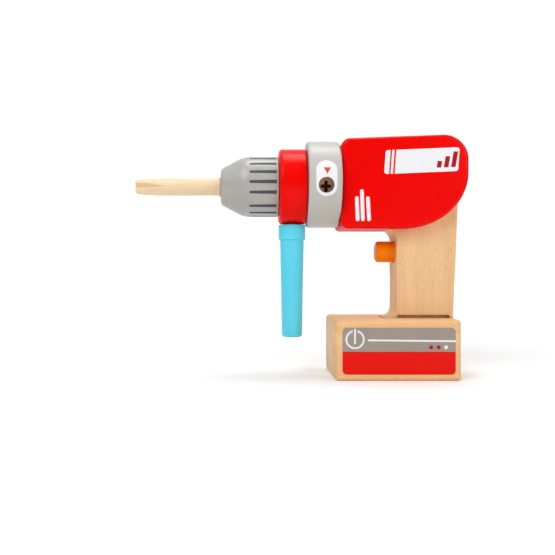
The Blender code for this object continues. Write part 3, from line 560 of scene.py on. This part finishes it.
BLACK_INK = printed("black ink", (0.008, 0.005, 0.004), (0.015, 0.009, 0.007))
INK_SLOTS = {WHITE_INK: "white_print", SLATE_INK: "slate_print", GREY_INK: "grey_print",
             RED_INK: "red_print", DEEP_RED_INK: "red_print", ORANGE_RED_INK: "red_print",
             BLACK_INK: "dark_print"}
STEEL = metal("plated steel", (0.62, 0.62, 0.64), 0.22, 0.40)
FIBRE = pressed_fibre("washer fibre", (0.24, 0.20, 0.16), (0.14, 0.11, 0.09))


def inked(name, shape, body, ink_colour):
    """Finish a printed mark that rides on a body."""
    finished(name, shape, body, INK_SLOTS[ink_colour], ink_colour)


def inked_flat(name, loops, y, body, ink_colour, lift=0.0):
    """Print closed loops on a face at Y = y that looks along -Y."""
    shape = thicken(together(ink(loop) for loop in loops), -(INK + INK_ROOT))
    bmesh.ops.translate(shape, vec=(0.0, y + INK_ROOT - lift, 0.0), verts=shape.verts[:])
    inked(name, shape, body, ink_colour)


# ---------------------------------------------------------------- battery block

SOCKET_DEPTH = 4.0 * MM           # the shallow recess that the whole foot stands in
SOCKET_TOE_ROOM = 2.6 * MM
SOCKET_SIDE_ROOM = 1.3 * MM
TOE_RADIUS = 7.0 * MM
GRIP_FRONT = GRIP_LOW.x + TOE_RADIUS
HALF_GRIP = GRIP_HIGH.y
FOOT_CUT = 3.0 * MM               # wood taken off each face of the foot
FOOT_SHADOW = 2.2 * MM            # how far that cut shows above the block
TENON_FRONT = GRIP_FRONT + 0.2 * MM
TENON_REAR = TENON_FRONT + 36.5 * MM
BEYOND = 5.0 * MM                 # how far a cutter reaches past what it cuts


def make_battery_block():
    """Beech block with a shallow loose socket that runs out at the rear, and a mortise."""
    shape = block(BLOCK_LOW, BLOCK_HIGH)
    round_edges(shape, shape.edges[:], 2.5 * MM, 6)
    room = HALF_GRIP + SOCKET_SIDE_ROOM
    socket = block((GRIP_LOW.x - SOCKET_TOE_ROOM, -room, BLOCK_HIGH.z - SOCKET_DEPTH),
                   (BLOCK_HIGH.x + BEYOND, room, BLOCK_HIGH.z + BEYOND))
    room = HALF_GRIP - FOOT_CUT + GAP
    mortise = block((TENON_FRONT - GAP, -room, GRIP_LOW.z - GAP),
                    (TENON_REAR + GAP, room, BLOCK_HIGH.z + BEYOND))
    shape = carved(shape, socket, mortise)
    finished("battery_block_body", shape, "battery", "beech", BLOCK_WOOD, "battery_block")


def make_battery_label():
    """The printed label: grey above, red below, with a standby sign, a line and three lamps."""
    face = BLOCK_LOW.y
    left, right = BLOCK_LOW.x + 4.7 * MM, BLOCK_HIGH.x - 4.0 * MM
    bottom, top = BLOCK_LOW.z + 4.3 * MM, BLOCK_HIGH.z - 5.2 * MM
    split = bottom + 15.4 * MM
    corner = 3.0 * MM
    upper = with_round_corners([(left, split), (right, split), (right, top), (left, top)],
                               [0.0, 0.0, corner, corner])
    lower = with_round_corners([(left, bottom), (right, bottom), (right, split), (left, split)],
                               [corner, corner, 0.0, 0.0])
    inked_flat("label_grey_field", [upper], face, "battery", GREY_INK)
    inked_flat("label_red_field", [lower], face, "battery", RED_INK)
    width = 1.25 * MM
    sign, radius, opening = (left + 8.4 * MM, top - 8.0 * MM), 5.8 * MM, 16
    ring = (arc(sign, radius + width / 2, 90 + opening, 450 - opening, 40)
            + arc(sign, radius - width / 2, 450 - opening, 90 + opening, 40))
    bar = stroke((sign[0], sign[1] - 2.5 * MM), (sign[0], sign[1] + 6.5 * MM), width)
    line_left, line_right = left + 17.3 * MM, right - 0.1 * MM
    line = stroke((line_left, split + 7.6 * MM), (line_right, split + 7.0 * MM), width, steps=2)
    lamp_radius, lamp_z = 1.35 * MM, split + 2.9 * MM
    dots = [arc((right - back * MM, lamp_z), lamp_radius, 0, 360, 24)[:-1]
            for back in (16.4, 11.3, 6.5)]
    white = [ring, bar, line, dots[2]]
    inked_flat("label_white_marks", white, face, "battery", WHITE_INK, INK)
    inked_flat("label_red_lamps", dots[:2], face, "battery", DEEP_RED_INK, INK)


# ---------------------------------------------------------------- grip and trigger

BODY_BOTTOM = CHEEK_LOW.z
BODY_FRONT, BODY_REAR = CHEEK_LOW.x, CHEEK_HIGH.x
BELLY_LENGTH = 45.0 * MM
BELLY_HEIGHT = 38.7 * MM
BELLY_START = BODY_REAR - BELLY_LENGTH
FLARE_RADIUS = 8.0 * MM
FLARE_REACH = 4.9 * MM
FOOT_DEPTH = 38.9 * MM
TOP_DEPTH = 41.4 * MM
FOOT_BOTTOM = BLOCK_HIGH.z - SOCKET_DEPTH + GAP
TOP_TENON_FRONT = GRIP_FRONT + 2.6 * MM
TOP_TENON_REAR = TOP_TENON_FRONT + 33.0 * MM
TRIGGER_Z = (TRIGGER_LOW.z + TRIGGER_HIGH.z) / 2
TRIGGER_RADIUS = (TRIGGER_HIGH.z - TRIGGER_LOW.z) / 2
TRIGGER_BORE = 33.6 * MM          # behind the grip's front edge


def belly_height(x):
    """Height of the body's underside, along the quarter ellipse of its belly."""
    share = max(0.0, (x - BELLY_START) / BELLY_LENGTH)
    return BODY_BOTTOM + BELLY_HEIGHT * (1.0 - math.sqrt(1.0 - share * share))


def grip_rear(z):
    """X of the grip's sloping rear edge at a height."""
    share = (z - BLOCK_HIGH.z) / (BODY_BOTTOM - BLOCK_HIGH.z)
    return GRIP_FRONT + FOOT_DEPTH + (TOP_DEPTH - FOOT_DEPTH) * share


def rear_shoulder():
    """Height at which the grip's rear edge runs into the belly."""
    height = BODY_BOTTOM
    for _ in range(8):
        height = belly_height(grip_rear(height))
    return height


def grip_outline():
    """Side view of the board with its two tenons, the toe and the flare under the body."""
    seat = BODY_BOTTOM - SEAM
    shoulder = rear_shoulder() - SEAM
    heel = grip_rear(BLOCK_HIGH.z)
    reach = math.acos(1.0 - FLARE_REACH / FLARE_RADIUS)
    flare = (GRIP_FRONT - FLARE_RADIUS, seat - FLARE_RADIUS * math.sin(reach))
    toe = (GRIP_FRONT - TOE_RADIUS, BLOCK_HIGH.z + TOE_RADIUS)
    return [(TENON_FRONT, GRIP_LOW.z), (TENON_REAR, GRIP_LOW.z), (TENON_REAR, FOOT_BOTTOM),
            (heel, FOOT_BOTTOM), (heel, BLOCK_HIGH.z), (grip_rear(shoulder), shoulder),
            (TOP_TENON_REAR, shoulder), (TOP_TENON_REAR, GRIP_HIGH.z),
            (TOP_TENON_FRONT, GRIP_HIGH.z), (TOP_TENON_FRONT, seat),
            *arc(flare, FLARE_RADIUS, math.degrees(reach), 0, 12),
            *arc(toe, TOE_RADIUS, 0, -90, 14), (toe[0], FOOT_BOTTOM), (TENON_FRONT, FOOT_BOTTOM)]


def bare_grip_edges(shape):
    """The long edges that show between the block and the body."""
    chosen = []
    for edge in shape.edges:
        first, second = (vert.co for vert in edge.verts)
        along_face = abs(first.y - second.y) < MERGE
        above = min(first.z, second.z) > BLOCK_HIGH.z - MERGE
        front = max(first.x, second.x) < GRIP_FRONT + MERGE
        rear = min(first.x, second.x) > TENON_REAR + MERGE and abs(first.z - second.z) > MERGE
        if along_face and above and (front or rear):
            chosen.append(edge)
    return chosen


def make_grip():
    """Beech board, grain upright, rounded for the hand, with a cut foot and a trigger bore."""
    shape = board(grip_outline(), -HALF_GRIP, HALF_GRIP)
    round_edges(shape, bare_grip_edges(shape), 3.0 * MM, 6)
    cutters = []
    for side in (-1, 1):
        inner, outer = side * (HALF_GRIP - FOOT_CUT), side * (HALF_GRIP + BEYOND)
        hollow = block((TENON_FRONT, min(inner, outer), GRIP_LOW.z - BEYOND),
                       (TENON_REAR, max(inner, outer), BLOCK_HIGH.z + FOOT_SHADOW))
        upright = [e for e in hollow.edges
                   if all(v.co.z > BLOCK_HIGH.z and v.co.x > TENON_REAR - MERGE for v in e.verts)]
        round_edges(hollow, upright, 1.6 * MM, 4)
        cutters.append(hollow)
    start = Vector((GRIP_FRONT - BEYOND, 0.0, TRIGGER_Z))
    cutters.append(rod(TRIGGER_RADIUS + GAP, BEYOND + TRIGGER_BORE, start, X_AXIS))
    start = Vector((PIN_MIDDLE.x, HALF_GRIP + BEYOND, PIN_MIDDLE.z))
    cutters.append(rod(PIN_RADIUS + SEAM, BEYOND + PIN_HIGH.y - PIN_LOW.y + GAP, start, -Y_AXIS))
    finished("grip_board", carved(shape, *cutters), "drill", "beech", GRIP_WOOD, "grip")


def make_trigger():
    """Lacquered dowel button with a slot across it for the pin that keeps it in."""
    length = TRIGGER_HIGH.x - TRIGGER_LOW.x
    end, edge = 2.0 * MM, 0.6 * MM
    profile = [(0.0, 0.0), *rounded_in(0.0, TRIGGER_RADIUS, end, 8),
               (length - edge, TRIGGER_RADIUS), (length, TRIGGER_RADIUS - edge), (length, 0.0)]
    shape = turned(profile, Vector((TRIGGER_LOW.x, 0.0, TRIGGER_Z)), sides=SMALL_SIDES)
    travel = next(j for j in frame["joints"] if j["name"] == "trigger_press")["range_m"][1]
    room = (PIN_HIGH.z - PIN_LOW.z) / 2 + GAP
    slot = block((PIN_LOW.x - GAP - travel, TRIGGER_LOW.y - BEYOND, TRIGGER_Z - room),
                 (PIN_HIGH.x + GAP, TRIGGER_HIGH.y + BEYOND, TRIGGER_Z + room))
    finished("trigger_button", carved(shape, slot), "trigger", "orange_lacquer", ORANGE,
             "trigger")
    length = PIN_HIGH.y - PIN_LOW.y
    edge = 0.3 * MM
    profile = [(0.0, 0.0), *rounded_in(0.0, PIN_RADIUS, edge, 3),
               (length, PIN_RADIUS), (length, 0.0)]
    place = Vector((PIN_MIDDLE.x, PIN_HIGH.y, PIN_MIDDLE.z))
    shape = turned(profile, place, -Y_AXIS, PIN_SIDES)
    finished("trigger_pin_dowel", shape, "drill", "birch", END_BIRCH, "trigger_pin")


# ---------------------------------------------------------------- body

BODY_ROUND = 3.0 * MM
SEAM_ROUND = 0.22 * MM            # the boards' glued edges, softened under the paint
FRONT_TOP = BODY_BOTTOM + 62.0 * MM


def belly_to_top(start):
    """Outline from the belly at x = start, round the rear and along the top to the nose."""
    turn = math.asin(max(0.0, start - BELLY_START) / BELLY_LENGTH)
    steps = 36
    points = []
    for step in range(steps + 1):
        angle = turn + (QUARTER - turn) * step / steps
        points.append((BELLY_START + BELLY_LENGTH * math.sin(angle),
                       BODY_BOTTOM + BELLY_HEIGHT * (1.0 - math.cos(angle))))
    corner = 17.0 * MM
    points += arc((BODY_REAR - corner, CHEEK_HIGH.z - corner), corner, 0, 90, 20)
    corner = 6.0 * MM
    points += arc((BODY_FRONT + corner, FRONT_TOP - corner), corner, 90, 180, 10)
    corner = 3.6 * MM
    points += arc((BODY_FRONT + corner, BODY_BOTTOM + corner), corner, 180, 270, 8)
    return points


def make_body():
    """Two cheeks on a core, glued and painted as one, with the glue lines just showing."""
    for name, side, node in (("near_cheek", -1, "cheek_near"), ("far_cheek", 1, "cheek_far")):
        inner, outer = side * (HALF_GRIP + SEAM), -side * CHEEK_LOW.y
        shape = board(belly_to_top(BELLY_START), inner, outer)
        round_edges(shape, rim(shape, outer), BODY_ROUND, 8)
        round_edges(shape, rim(shape, inner), SEAM_ROUND, 2)
        finished(name + "_board", shape, "drill", "red_paint", RED, node)
    shoulder = rear_shoulder() + SEAM
    share = 1.0 - (shoulder - BODY_BOTTOM) / BELLY_HEIGHT
    start = BELLY_START + BELLY_LENGTH * math.sqrt(1.0 - share * share)
    tenon_top = GRIP_HIGH.z + GAP
    outline = [(TOP_TENON_FRONT - SEAM, BODY_BOTTOM), (TOP_TENON_FRONT - SEAM, tenon_top),
               (TOP_TENON_REAR + SEAM, tenon_top), (TOP_TENON_REAR + SEAM, shoulder)]
    shape = board(outline + belly_to_top(start), -HALF_GRIP, HALF_GRIP)
    for y in (-HALF_GRIP, HALF_GRIP):
        round_edges(shape, rim(shape, y), SEAM_ROUND, 2)
    finished("core_board", shape, "drill", "red_paint", RED, "body_core")


def make_body_print():
    """On the near cheek: a white banner with two gaps and a power mark, and three vent bars."""
    face = CHEEK_LOW.y
    left, low, high = BODY_FRONT + 28.6 * MM, BODY_BOTTOM + 37.0 * MM, BODY_BOTTOM + 53.2 * MM
    lean, rise = 1.15 * MM, 2.05 * MM
    right = left + 50.2 * MM

    def slanted(start, stop, round_start=0.0, round_stop=0.0):
        """A strip of the banner, with its corners rounded at either end."""
        first, last = (rise / (right - left) * (x - left) for x in (start, stop))
        corners = [(start, low + first), (stop, low + last),
                   (stop + lean, high + last), (start + lean, high + first)]
        return with_round_corners(corners, [round_start, round_stop, round_stop, round_start])

    corner = 1.8 * MM
    strips = [slanted(left, left + 3.3 * MM, round_start=corner),
              slanted(left + 4.4 * MM, left + 6.0 * MM),
              slanted(left + 7.2 * MM, right, round_stop=corner)]
    inked_flat("body_banner", strips, face, "drill", WHITE_INK)
    bars = []
    width, pitch, margin, slant = 3.1 * MM, 4.9 * MM, 2.9 * MM, 0.17
    for number, height in enumerate((4.6 * MM, 7.6 * MM, 10.6 * MM)):
        x = right - 14.6 * MM + number * pitch
        base = low + rise * (x - left) / (right - left) + margin
        top = (x + height * slant, base + height)
        corners = [(x, base), (x + width, base), (top[0] + width, top[1]), top]
        bars.append(with_round_corners(corners, [0.4 * MM] * 4, 3))
    inked_flat("body_power_mark", bars, face, "drill", DEEP_RED_INK, INK)
    vents = []
    width, margin = 2.5 * MM, 5.0 * MM
    for across, height, tilt in ((10.65, 21.9, 0.55), (14.2, 26.6, 0.65), (18.4, 21.9, 0.75)):
        foot = (BODY_FRONT + across * MM, BODY_BOTTOM + margin + width / 2)
        head = (foot[0] - tilt * MM, BODY_BOTTOM + height * MM - width / 2)
        vents.append(stroke(foot, head, width))
    inked_flat("body_vent_bars", vents, face, "drill", WHITE_INK)


# ---------------------------------------------------------------- selector ring and symbol drum

RING_SINK = 0.08 * MM             # keeps its print inside the solid's own size
RING_RADIUS = (RING_HIGH.z - RING_LOW.z) / 2 - RING_SINK
RING_WALL = 6.5 * MM
RING_WEB = 3.5 * MM               # the cup's floor, against the body
HUB_RADIUS = 12.2 * MM
DRUM_PLAY = 0.6 * MM              # between the drum's ends and the cup
WINDOW_RADIUS = 5.25 * MM
WINDOW_FLARE = 0.6 * MM           # how much its mouth widens over the ring's skin
WINDOW_X = RING_HIGH.x - 10.9 * MM
WINDOW_ANGLE = -6.5               # degrees below the level, about the ring's own centre
SPINDLE_BORE = (SPINDLE_HIGH.z - SPINDLE_LOW.z) / 2 + GAP
FIRST_SIGN = -5.0                 # degrees below the level, about the drum's axis
LABEL_RADIUS = 7.05 * MM
LABEL_STRAIGHT = 10.6 * MM        # between the centres of the label's two round ends


def make_ring():
    """A grey cup round the drum, closed towards the body, and a round window with a soft lip."""
    length = RING_HIGH.x - RING_LOW.x
    corner = 1.8 * MM
    bore = RING_RADIUS - RING_WALL + RING_SINK
    soft = 0.4 * MM
    depth = length - RING_WEB
    profile = [(depth, 0.0), (depth, bore), (soft, bore), (0.0, bore + soft),
               *rounded_in(0.0, RING_RADIUS, corner, 8),
               *rounded_out(length, RING_RADIUS, corner, 8), (length, 0.0)]
    shape = turned(profile, Vector((RING_LOW.x, 0.0, RING_Z)))
    start, through = RING_HIGH.x - 2 * RING_WEB, 3 * RING_WEB
    spindle = rod(SPINDLE_BORE, through, Vector((start, 0.0, AXIS_Z)), X_AXIS)
    pocket = rod(BALL_RADIUS + GAP, through, Vector((start, 0.0, BALL_Z)), X_AXIS)
    tilt = math.radians(WINDOW_ANGLE)
    outward = Vector((0.0, -math.cos(tilt), math.sin(tilt)))
    profile = [(bore - RING_WALL, 0.0), (bore - RING_WALL, WINDOW_RADIUS),
               (RING_RADIUS - WINDOW_FLARE, WINDOW_RADIUS),
               (RING_RADIUS + BEYOND, WINDOW_RADIUS + WINDOW_FLARE), (RING_RADIUS + BEYOND, 0.0)]
    window = turned(profile, Vector((WINDOW_X, 0.0, RING_Z)), outward, SMALL_SIDES)
    finished("selector_ring_cup", carved(shape, spindle, pocket, window), "drill", "grey_paint",
             RING_GREY, "selector_ring")


def make_ring_print():
    """A white oval round the window, and a red mark that points down at it."""
    window_rise = math.radians(WINDOW_ANGLE) * RING_RADIUS
    low_end = (WINDOW_X + 0.1 * MM, window_rise - 0.5 * MM)
    high_end = (low_end[0], low_end[1] + LABEL_STRAIGHT)
    outer = stroke(low_end, high_end, 2 * LABEL_RADIUS, steps=28)
    margin = 0.14 * MM
    hole = arc((WINDOW_X, window_rise), WINDOW_RADIUS + margin, 0, 360, 56)[:-1]
    label = on_round(ink(outer, hole), RING_RADIUS, RING_Z)
    inked("ring_label", label, "drill", WHITE_INK)
    tip = (WINDOW_X + 0.5 * MM, window_rise + 7.3 * MM)
    wide, tall = 2.5 * MM, 4.6 * MM
    mark = [tip, (tip[0] + wide, tip[1] + tall), (tip[0] - wide, tip[1] + tall)]
    pointer = on_round(ink(mark), RING_RADIUS, RING_Z, lift=INK)
    inked("ring_pointer", pointer, "drill", ORANGE_RED_INK)


def make_drum():
    """Beech drum with a hub, and three signs round it that come up in the window in turn."""
    radius = (DRUM_HIGH.z - DRUM_LOW.z) / 2
    length = DRUM_HIGH.x - DRUM_LOW.x
    hub = RING_LOW.x + DRUM_PLAY - DRUM_LOW.x
    seat = length + DRUM_PLAY - (WASHER_HIGH.x - WASHER_LOW.x) - 2 * GAP
    washer = WASHER_RADIUS + GAP
    groove, half = DRUM_HIGH.x - BALL_LOW.x + GAP, BALL_RADIUS + GAP
    middle = BALL_Z - AXIS_Z
    soft = 0.5 * MM
    profile = [(seat, SPINDLE_BORE), (0.0, SPINDLE_BORE), (0.0, HUB_RADIUS), (hub, HUB_RADIUS),
               (hub, radius - soft), (hub + soft, radius),
               (length - soft, radius), (length, radius - soft),
               (length, middle + half), (length - groove, middle + half / 2),
               (length - groove, middle - half / 2), (length, middle - half), (length, washer),
               (seat, washer)]
    shape = turned(profile, Vector((DRUM_LOW.x, 0.0, AXIS_Z)))
    finished("symbol_drum_body", shape, "nose", "beech", DRUM_WOOD, "symbol_drum")
    width, reach, rise = 2.4 * MM, 2.45 * MM, 2.75 * MM
    sign_x = WINDOW_X + 0.4 * MM
    level = stroke((sign_x - reach, 0.0), (sign_x + reach, 0.0), width)
    upright = stroke((sign_x, -rise), (sign_x, rise), width)
    dot = arc((sign_x, 0.0), 2.0 * MM, 0, 360, 32)[:-1]
    signs = {"plus": (level, upright), "minus": (level,), "dot": (dot,)}
    for number, (sign, loops) in enumerate(signs.items()):
        turn = FIRST_SIGN + 360.0 / len(signs) * number
        marks = [on_round(ink(loop), radius, AXIS_Z, turn, INK * 0.5 * order)
                 for order, loop in enumerate(loops)]
        inked("drum_" + sign, together(marks), "nose", BLACK_INK)


# ---------------------------------------------------------------- collar and side handle

def make_collar():
    """Red turned collar with rounded edges, bored for the spindle, the hub and the stud."""
    radius = COLLAR_HIGH.z - AXIS_Z
    length = COLLAR_HIGH.x - COLLAR_LOW.x
    front, rear = 2.5 * MM, 1.5 * MM
    seat, washer = 1.2 * MM + GAP, WASHER_RADIUS + GAP
    hub = 3.5 * MM
    profile = [(seat, SPINDLE_BORE), (seat, washer), (0.0, washer),
               *rounded_in(0.0, radius, front, 10), *rounded_out(length, radius, rear, 8),
               (length, HUB_RADIUS + GAP), (length - hub, HUB_RADIUS + GAP),
               (length - hub, SPINDLE_BORE)]
    shape = turned(profile, Vector((COLLAR_LOW.x, 0.0, AXIS_Z)))
    start = Vector((STUD_X, 0.0, STUD_HIGH.z + GAP))
    hole = rod(STUD_RADIUS + GAP, 3 * (STUD_HIGH.z - (AXIS_Z - radius)), start, -Z_AXIS)
    finished("nose_collar_body", carved(shape, hole), "nose", "red_paint", RED, "nose_collar")


def make_side_handle():
    """Light blue turned handle: a straight flange, a slim taper and a softly rounded end."""
    length = HANDLE_HIGH.z - HANDLE_LOW.z
    flange, top, bottom = 9.4 * MM, 8.35 * MM, 7.15 * MM
    step, edge, end = 10.6 * MM, 0.6 * MM, 1.8 * MM
    stud = STUD_RADIUS + GAP
    bore = HANDLE_HIGH.z - STUD_LOW.z + GAP
    profile = [(bore, 0.0), (bore, stud), (0.0, stud),
               *rounded_in(0.0, flange, edge, 5), *rounded_out(step, flange, edge, 5),
               *arc((step + edge, top + edge), edge, 180, 270, 4),
               *rounded_out(length, bottom, end, 8), (length, 0.0)]
    place = Vector(((HANDLE_LOW.x + HANDLE_HIGH.x) / 2, 0.0, HANDLE_HIGH.z))
    finished("side_handle_body", turned(profile, place, -Z_AXIS, HANDLE_SIDES), "nose",
             "blue_paint", BLUE, "side_handle")


# ---------------------------------------------------------------- chuck and bit

CHUCK_RADIUS = (CHUCK_HIGH.z - CHUCK_LOW.z) / 2
CHUCK_CYLINDER = 20.2 * MM
CHUCK_STROKES = 18
WIDE_GAP = 28.0                   # degrees between the first and the last stroke
FIRST_STROKE = -43.8              # degrees, below the level on the near side
BIT_RADIUS = 6.0 * MM
RIB_MIDDLE = math.radians(44.0)   # past this, a point is on the crest between two flutes


def make_chuck():
    """Grey turned chuck: a small flat nose, a cone that rolls into a cylinder, and two bores."""
    length = CHUCK_HIGH.x - CHUCK_LOW.x
    slope, shoulder, nose, edge = 27.3, 16.0 * MM, 3.0 * MM, 0.5 * MM
    lean = math.radians(slope)
    roll = arc((length - CHUCK_CYLINDER, CHUCK_RADIUS - shoulder), shoulder, 90 + slope, 90, 12)
    nose_along = nose * (1.0 - math.sin(lean))
    nose_top = roll[0][1] - (roll[0][0] - nose_along) * math.tan(lean)
    tip = arc((nose, nose_top - nose * math.cos(lean)), nose, 180, 90 + slope, 8)
    web = 4.0 * MM
    web_end = SPINDLE_LOW.x - GAP - CHUCK_LOW.x
    screw = 2.0 * MM + GAP
    mouth, lip = BIT_RADIUS + GAP, 0.4 * MM
    profile = [(web_end - web, mouth), (lip, mouth), (0.0, mouth + lip), *tip, *roll,
               (length - edge, CHUCK_RADIUS), (length, CHUCK_RADIUS - edge),
               (length, SPINDLE_BORE), (web_end, SPINDLE_BORE), (web_end, screw),
               (web_end - web, screw)]
    shape = turned(profile, Vector((CHUCK_LOW.x, 0.0, AXIS_Z)))
    finished("chuck_body", shape, "chuck", "grey_paint", CHUCK_GREY, "chuck")
    front, front_half = CHUCK_HIGH.x - CHUCK_CYLINDER, 0.95 * MM
    rear, rear_half = CHUCK_HIGH.x - 1.6 * MM, 1.3 * MM
    dash = with_round_corners([(front, -front_half), (rear, -rear_half),
                               (rear, rear_half), (front, front_half)], [0.3 * MM] * 4, 3)
    pitch = (360.0 - WIDE_GAP) / (CHUCK_STROKES - 1)
    turns = [FIRST_STROKE - pitch * number for number in range(CHUCK_STROKES)]
    marks = together(on_round(ink(dash), CHUCK_RADIUS, AXIS_Z, turn) for turn in turns)
    inked("chuck_grip_strokes", marks, "chuck", SLATE_INK)


def make_bit():
    """Turned birch bit: a cross-point tip with four tapering flutes, a shoulder ring, a shank."""
    length = BIT_HIGH.x - BIT_LOW.x
    reach = CHUCK_LOW.x - BIT_LOW.x
    tip_radius, taper = 5.2 * MM, 8.0 * MM
    flute_length, flute_foot, flute_curve = 22.5 * MM, 1.8 * MM, 1.15
    rows_end, rows = flute_length + 1.5 * MM, 56
    edge = 0.4 * MM
    profile = [(0.0, 0.0), (0.0, tip_radius / 2), *rounded_in(0.0, tip_radius, edge, 4)]
    for row in range(2, rows + 1):
        along = rows_end * row / rows
        swell = math.sin(QUARTER * min(1.0, along / taper))
        profile.append((along, tip_radius + (BIT_RADIUS - tip_radius) * swell))
    ring_end = reach - GAP
    ring_start = ring_end - 1.6 * MM
    ring = (BIT_HIGH.z - BIT_LOW.z) / 2
    profile += [(ring_start, BIT_RADIUS), *rounded_in(ring_start, ring, edge, 4),
                *rounded_out(ring_end, ring, edge, 4), (ring_end, BIT_RADIUS),
                (length - edge, BIT_RADIUS), (length, BIT_RADIUS - edge), (length, 0.0)]
    shape = turned(profile, Vector((0.0, 0.0, 0.0)), sides=BIT_SIDES)
    for vert in shape.verts:
        if vert.co.x > flute_length:
            continue
        radius = math.hypot(vert.co.y, vert.co.z)
        if radius < MERGE:
            continue
        angle = math.atan2(vert.co.z, -vert.co.y)
        off = abs((angle + QUARTER / 2) % QUARTER - QUARTER / 2)
        share = max(0.0, vert.co.x) / flute_length
        foot = flute_foot + (BIT_RADIUS - flute_foot) * share ** flute_curve
        wall = foot / (math.cos(off) - math.sin(off)) if off < RIB_MIDDLE else radius
        if 0.0 < wall < radius:
            vert.co.y *= wall / radius
            vert.co.z *= wall / radius
    bmesh.ops.translate(shape, vec=(BIT_LOW.x, 0.0, AXIS_Z), verts=shape.verts[:])
    finished("bit_body", shape, "bit", "birch", BIRCH, "bit")


# ---------------------------------------------------------------- hidden pieces

HIDDEN = {BIRCH: ["ring_dowel_near", "ring_dowel_far", "spindle"],
          UPRIGHT_BIRCH: ["collar_stud"],
          END_BIRCH: ["body_dowel_1", "body_dowel_2", "body_dowel_3", "body_dowel_4",
                      "grip_dowel_1", "grip_dowel_2"],
          STEEL: ["detent_ball", "detent_spring", "trigger_spring", "chuck_screw",
                  "screw_washer"],
          FIBRE: ["front_thrust_washer", "rear_thrust_washer"]}


def finish_hidden_pieces():
    """The dowels, springs and washers inside keep their solids and get their real finish."""
    for material, names in HIDDEN.items():
        for name in names:
            slots = frame["nodes"][name].data.materials
            slots.clear()
            slots.append(material)


for make in (make_battery_block, make_battery_label, make_grip, make_trigger, make_body,
             make_body_print, make_ring, make_ring_print, make_drum, make_collar,
             make_side_handle, make_chuck, make_bit, finish_hidden_pieces):
    make()


# ---------------------------------------------------------------- studio

FLOOR_REACH = 60.0
NEAR, FAR = 0.25, 1.6             # the floor's own glow grows between these distances
NEAR_GLOW, FAR_GLOW = 0.12, 1.0   # and keeps the far floor as white as the backdrop
LIT_MIDDLE = Vector((0.0, 0.0, 0.09))


def make_floor():
    """A pale matt floor that runs out of sight."""
    shape = bmesh.new()
    bmesh.ops.create_grid(shape, x_segments=1, y_segments=1, size=FLOOR_REACH)
    floor = placed("floor", meshed("floor", shape))
    material = bpy.data.materials.new("white floor")
    material.use_nodes = True
    tree = material.node_tree
    place = add(tree, "ShaderNodeTexCoord")
    away = add(tree, "ShaderNodeVectorMath", operation="LENGTH")
    tree.links.new(place.outputs["Object"], away.inputs[0])
    glow = spread(tree, away.outputs["Value"], NEAR, FAR, NEAR_GLOW, FAR_GLOW)
    path = add(tree, "ShaderNodeLightPath")
    glow = sum_up(tree, "MULTIPLY", path.outputs["Is Camera Ray"], glow)
    feed(tree, tree.nodes["Principled BSDF"], Base_Color=(0.88, 0.88, 0.88, 1.0), Roughness=0.9,
         Specular_IOR_Level=0.1, Emission_Color=(1.0, 1.0, 1.0, 1.0), Emission_Strength=glow)
    floor.data.materials.append(material)


def make_lamp(name, place, size, power):
    """A soft square lamp that looks at the middle of the drill."""
    data = bpy.data.lights.new(name, "AREA")
    data.size = size
    data.energy = power
    lamp = placed(name, data)
    lamp.location = place
    lamp.rotation_euler = (LIT_MIDDLE - Vector(place)).to_track_quat("-Z", "Y").to_euler()


def make_world():
    """White all round for the eye; the light that falls on things comes less from the front."""
    world = bpy.data.worlds.new("studio")
    bpy.context.scene.world = world
    world.use_nodes = True
    tree = world.node_tree
    seen = feed(tree, tree.nodes["Background"], Color=(1.0, 1.0, 1.0, 1.0), Strength=1.05)
    place = add(tree, "ShaderNodeTexCoord").outputs["Generated"]
    split = feed(tree, add(tree, "ShaderNodeSeparateXYZ"), Vector=place)
    strength = spread(tree, split["Y"], -0.10, 0.60, 0.10, 0.95)
    shed = feed(tree, add(tree, "ShaderNodeBackground"), Strength=strength)
    mix = add(tree, "ShaderNodeMixShader")
    tree.links.new(shed["Background"], mix.inputs[1])
    tree.links.new(seen["Background"], mix.inputs[2])
    path = add(tree, "ShaderNodeLightPath").outputs["Is Camera Ray"]
    mixed = feed(tree, mix, Fac=path)["Shader"]
    feed(tree, tree.nodes["World Output"], Surface=mixed)


def make_camera():
    """Level, a little left of the drill, at about half its height."""
    data = bpy.data.cameras.new("camera")
    data.sensor_width = 36.0
    data.lens = 45.4
    data.shift_x = 0.0485
    data.shift_y = -0.0162
    data.clip_start = 0.01
    camera = placed("camera", data)
    camera.location = (-33.8 * MM, -497.0 * MM, 75.2 * MM)
    camera.rotation_euler = (QUARTER, 0.0, 0.0)
    bpy.context.scene.camera = camera


make_floor()
make_lamp("key", (-0.55, -0.75, 0.95), 0.7, 8.8)
make_lamp("fill", (0.85, -0.80, 0.60), 0.8, 5.4)
make_lamp("top", (0.05, 0.10, 1.20), 0.5, 6.0)
make_world()
make_camera()
bpy.context.scene.view_settings.view_transform = "Standard"
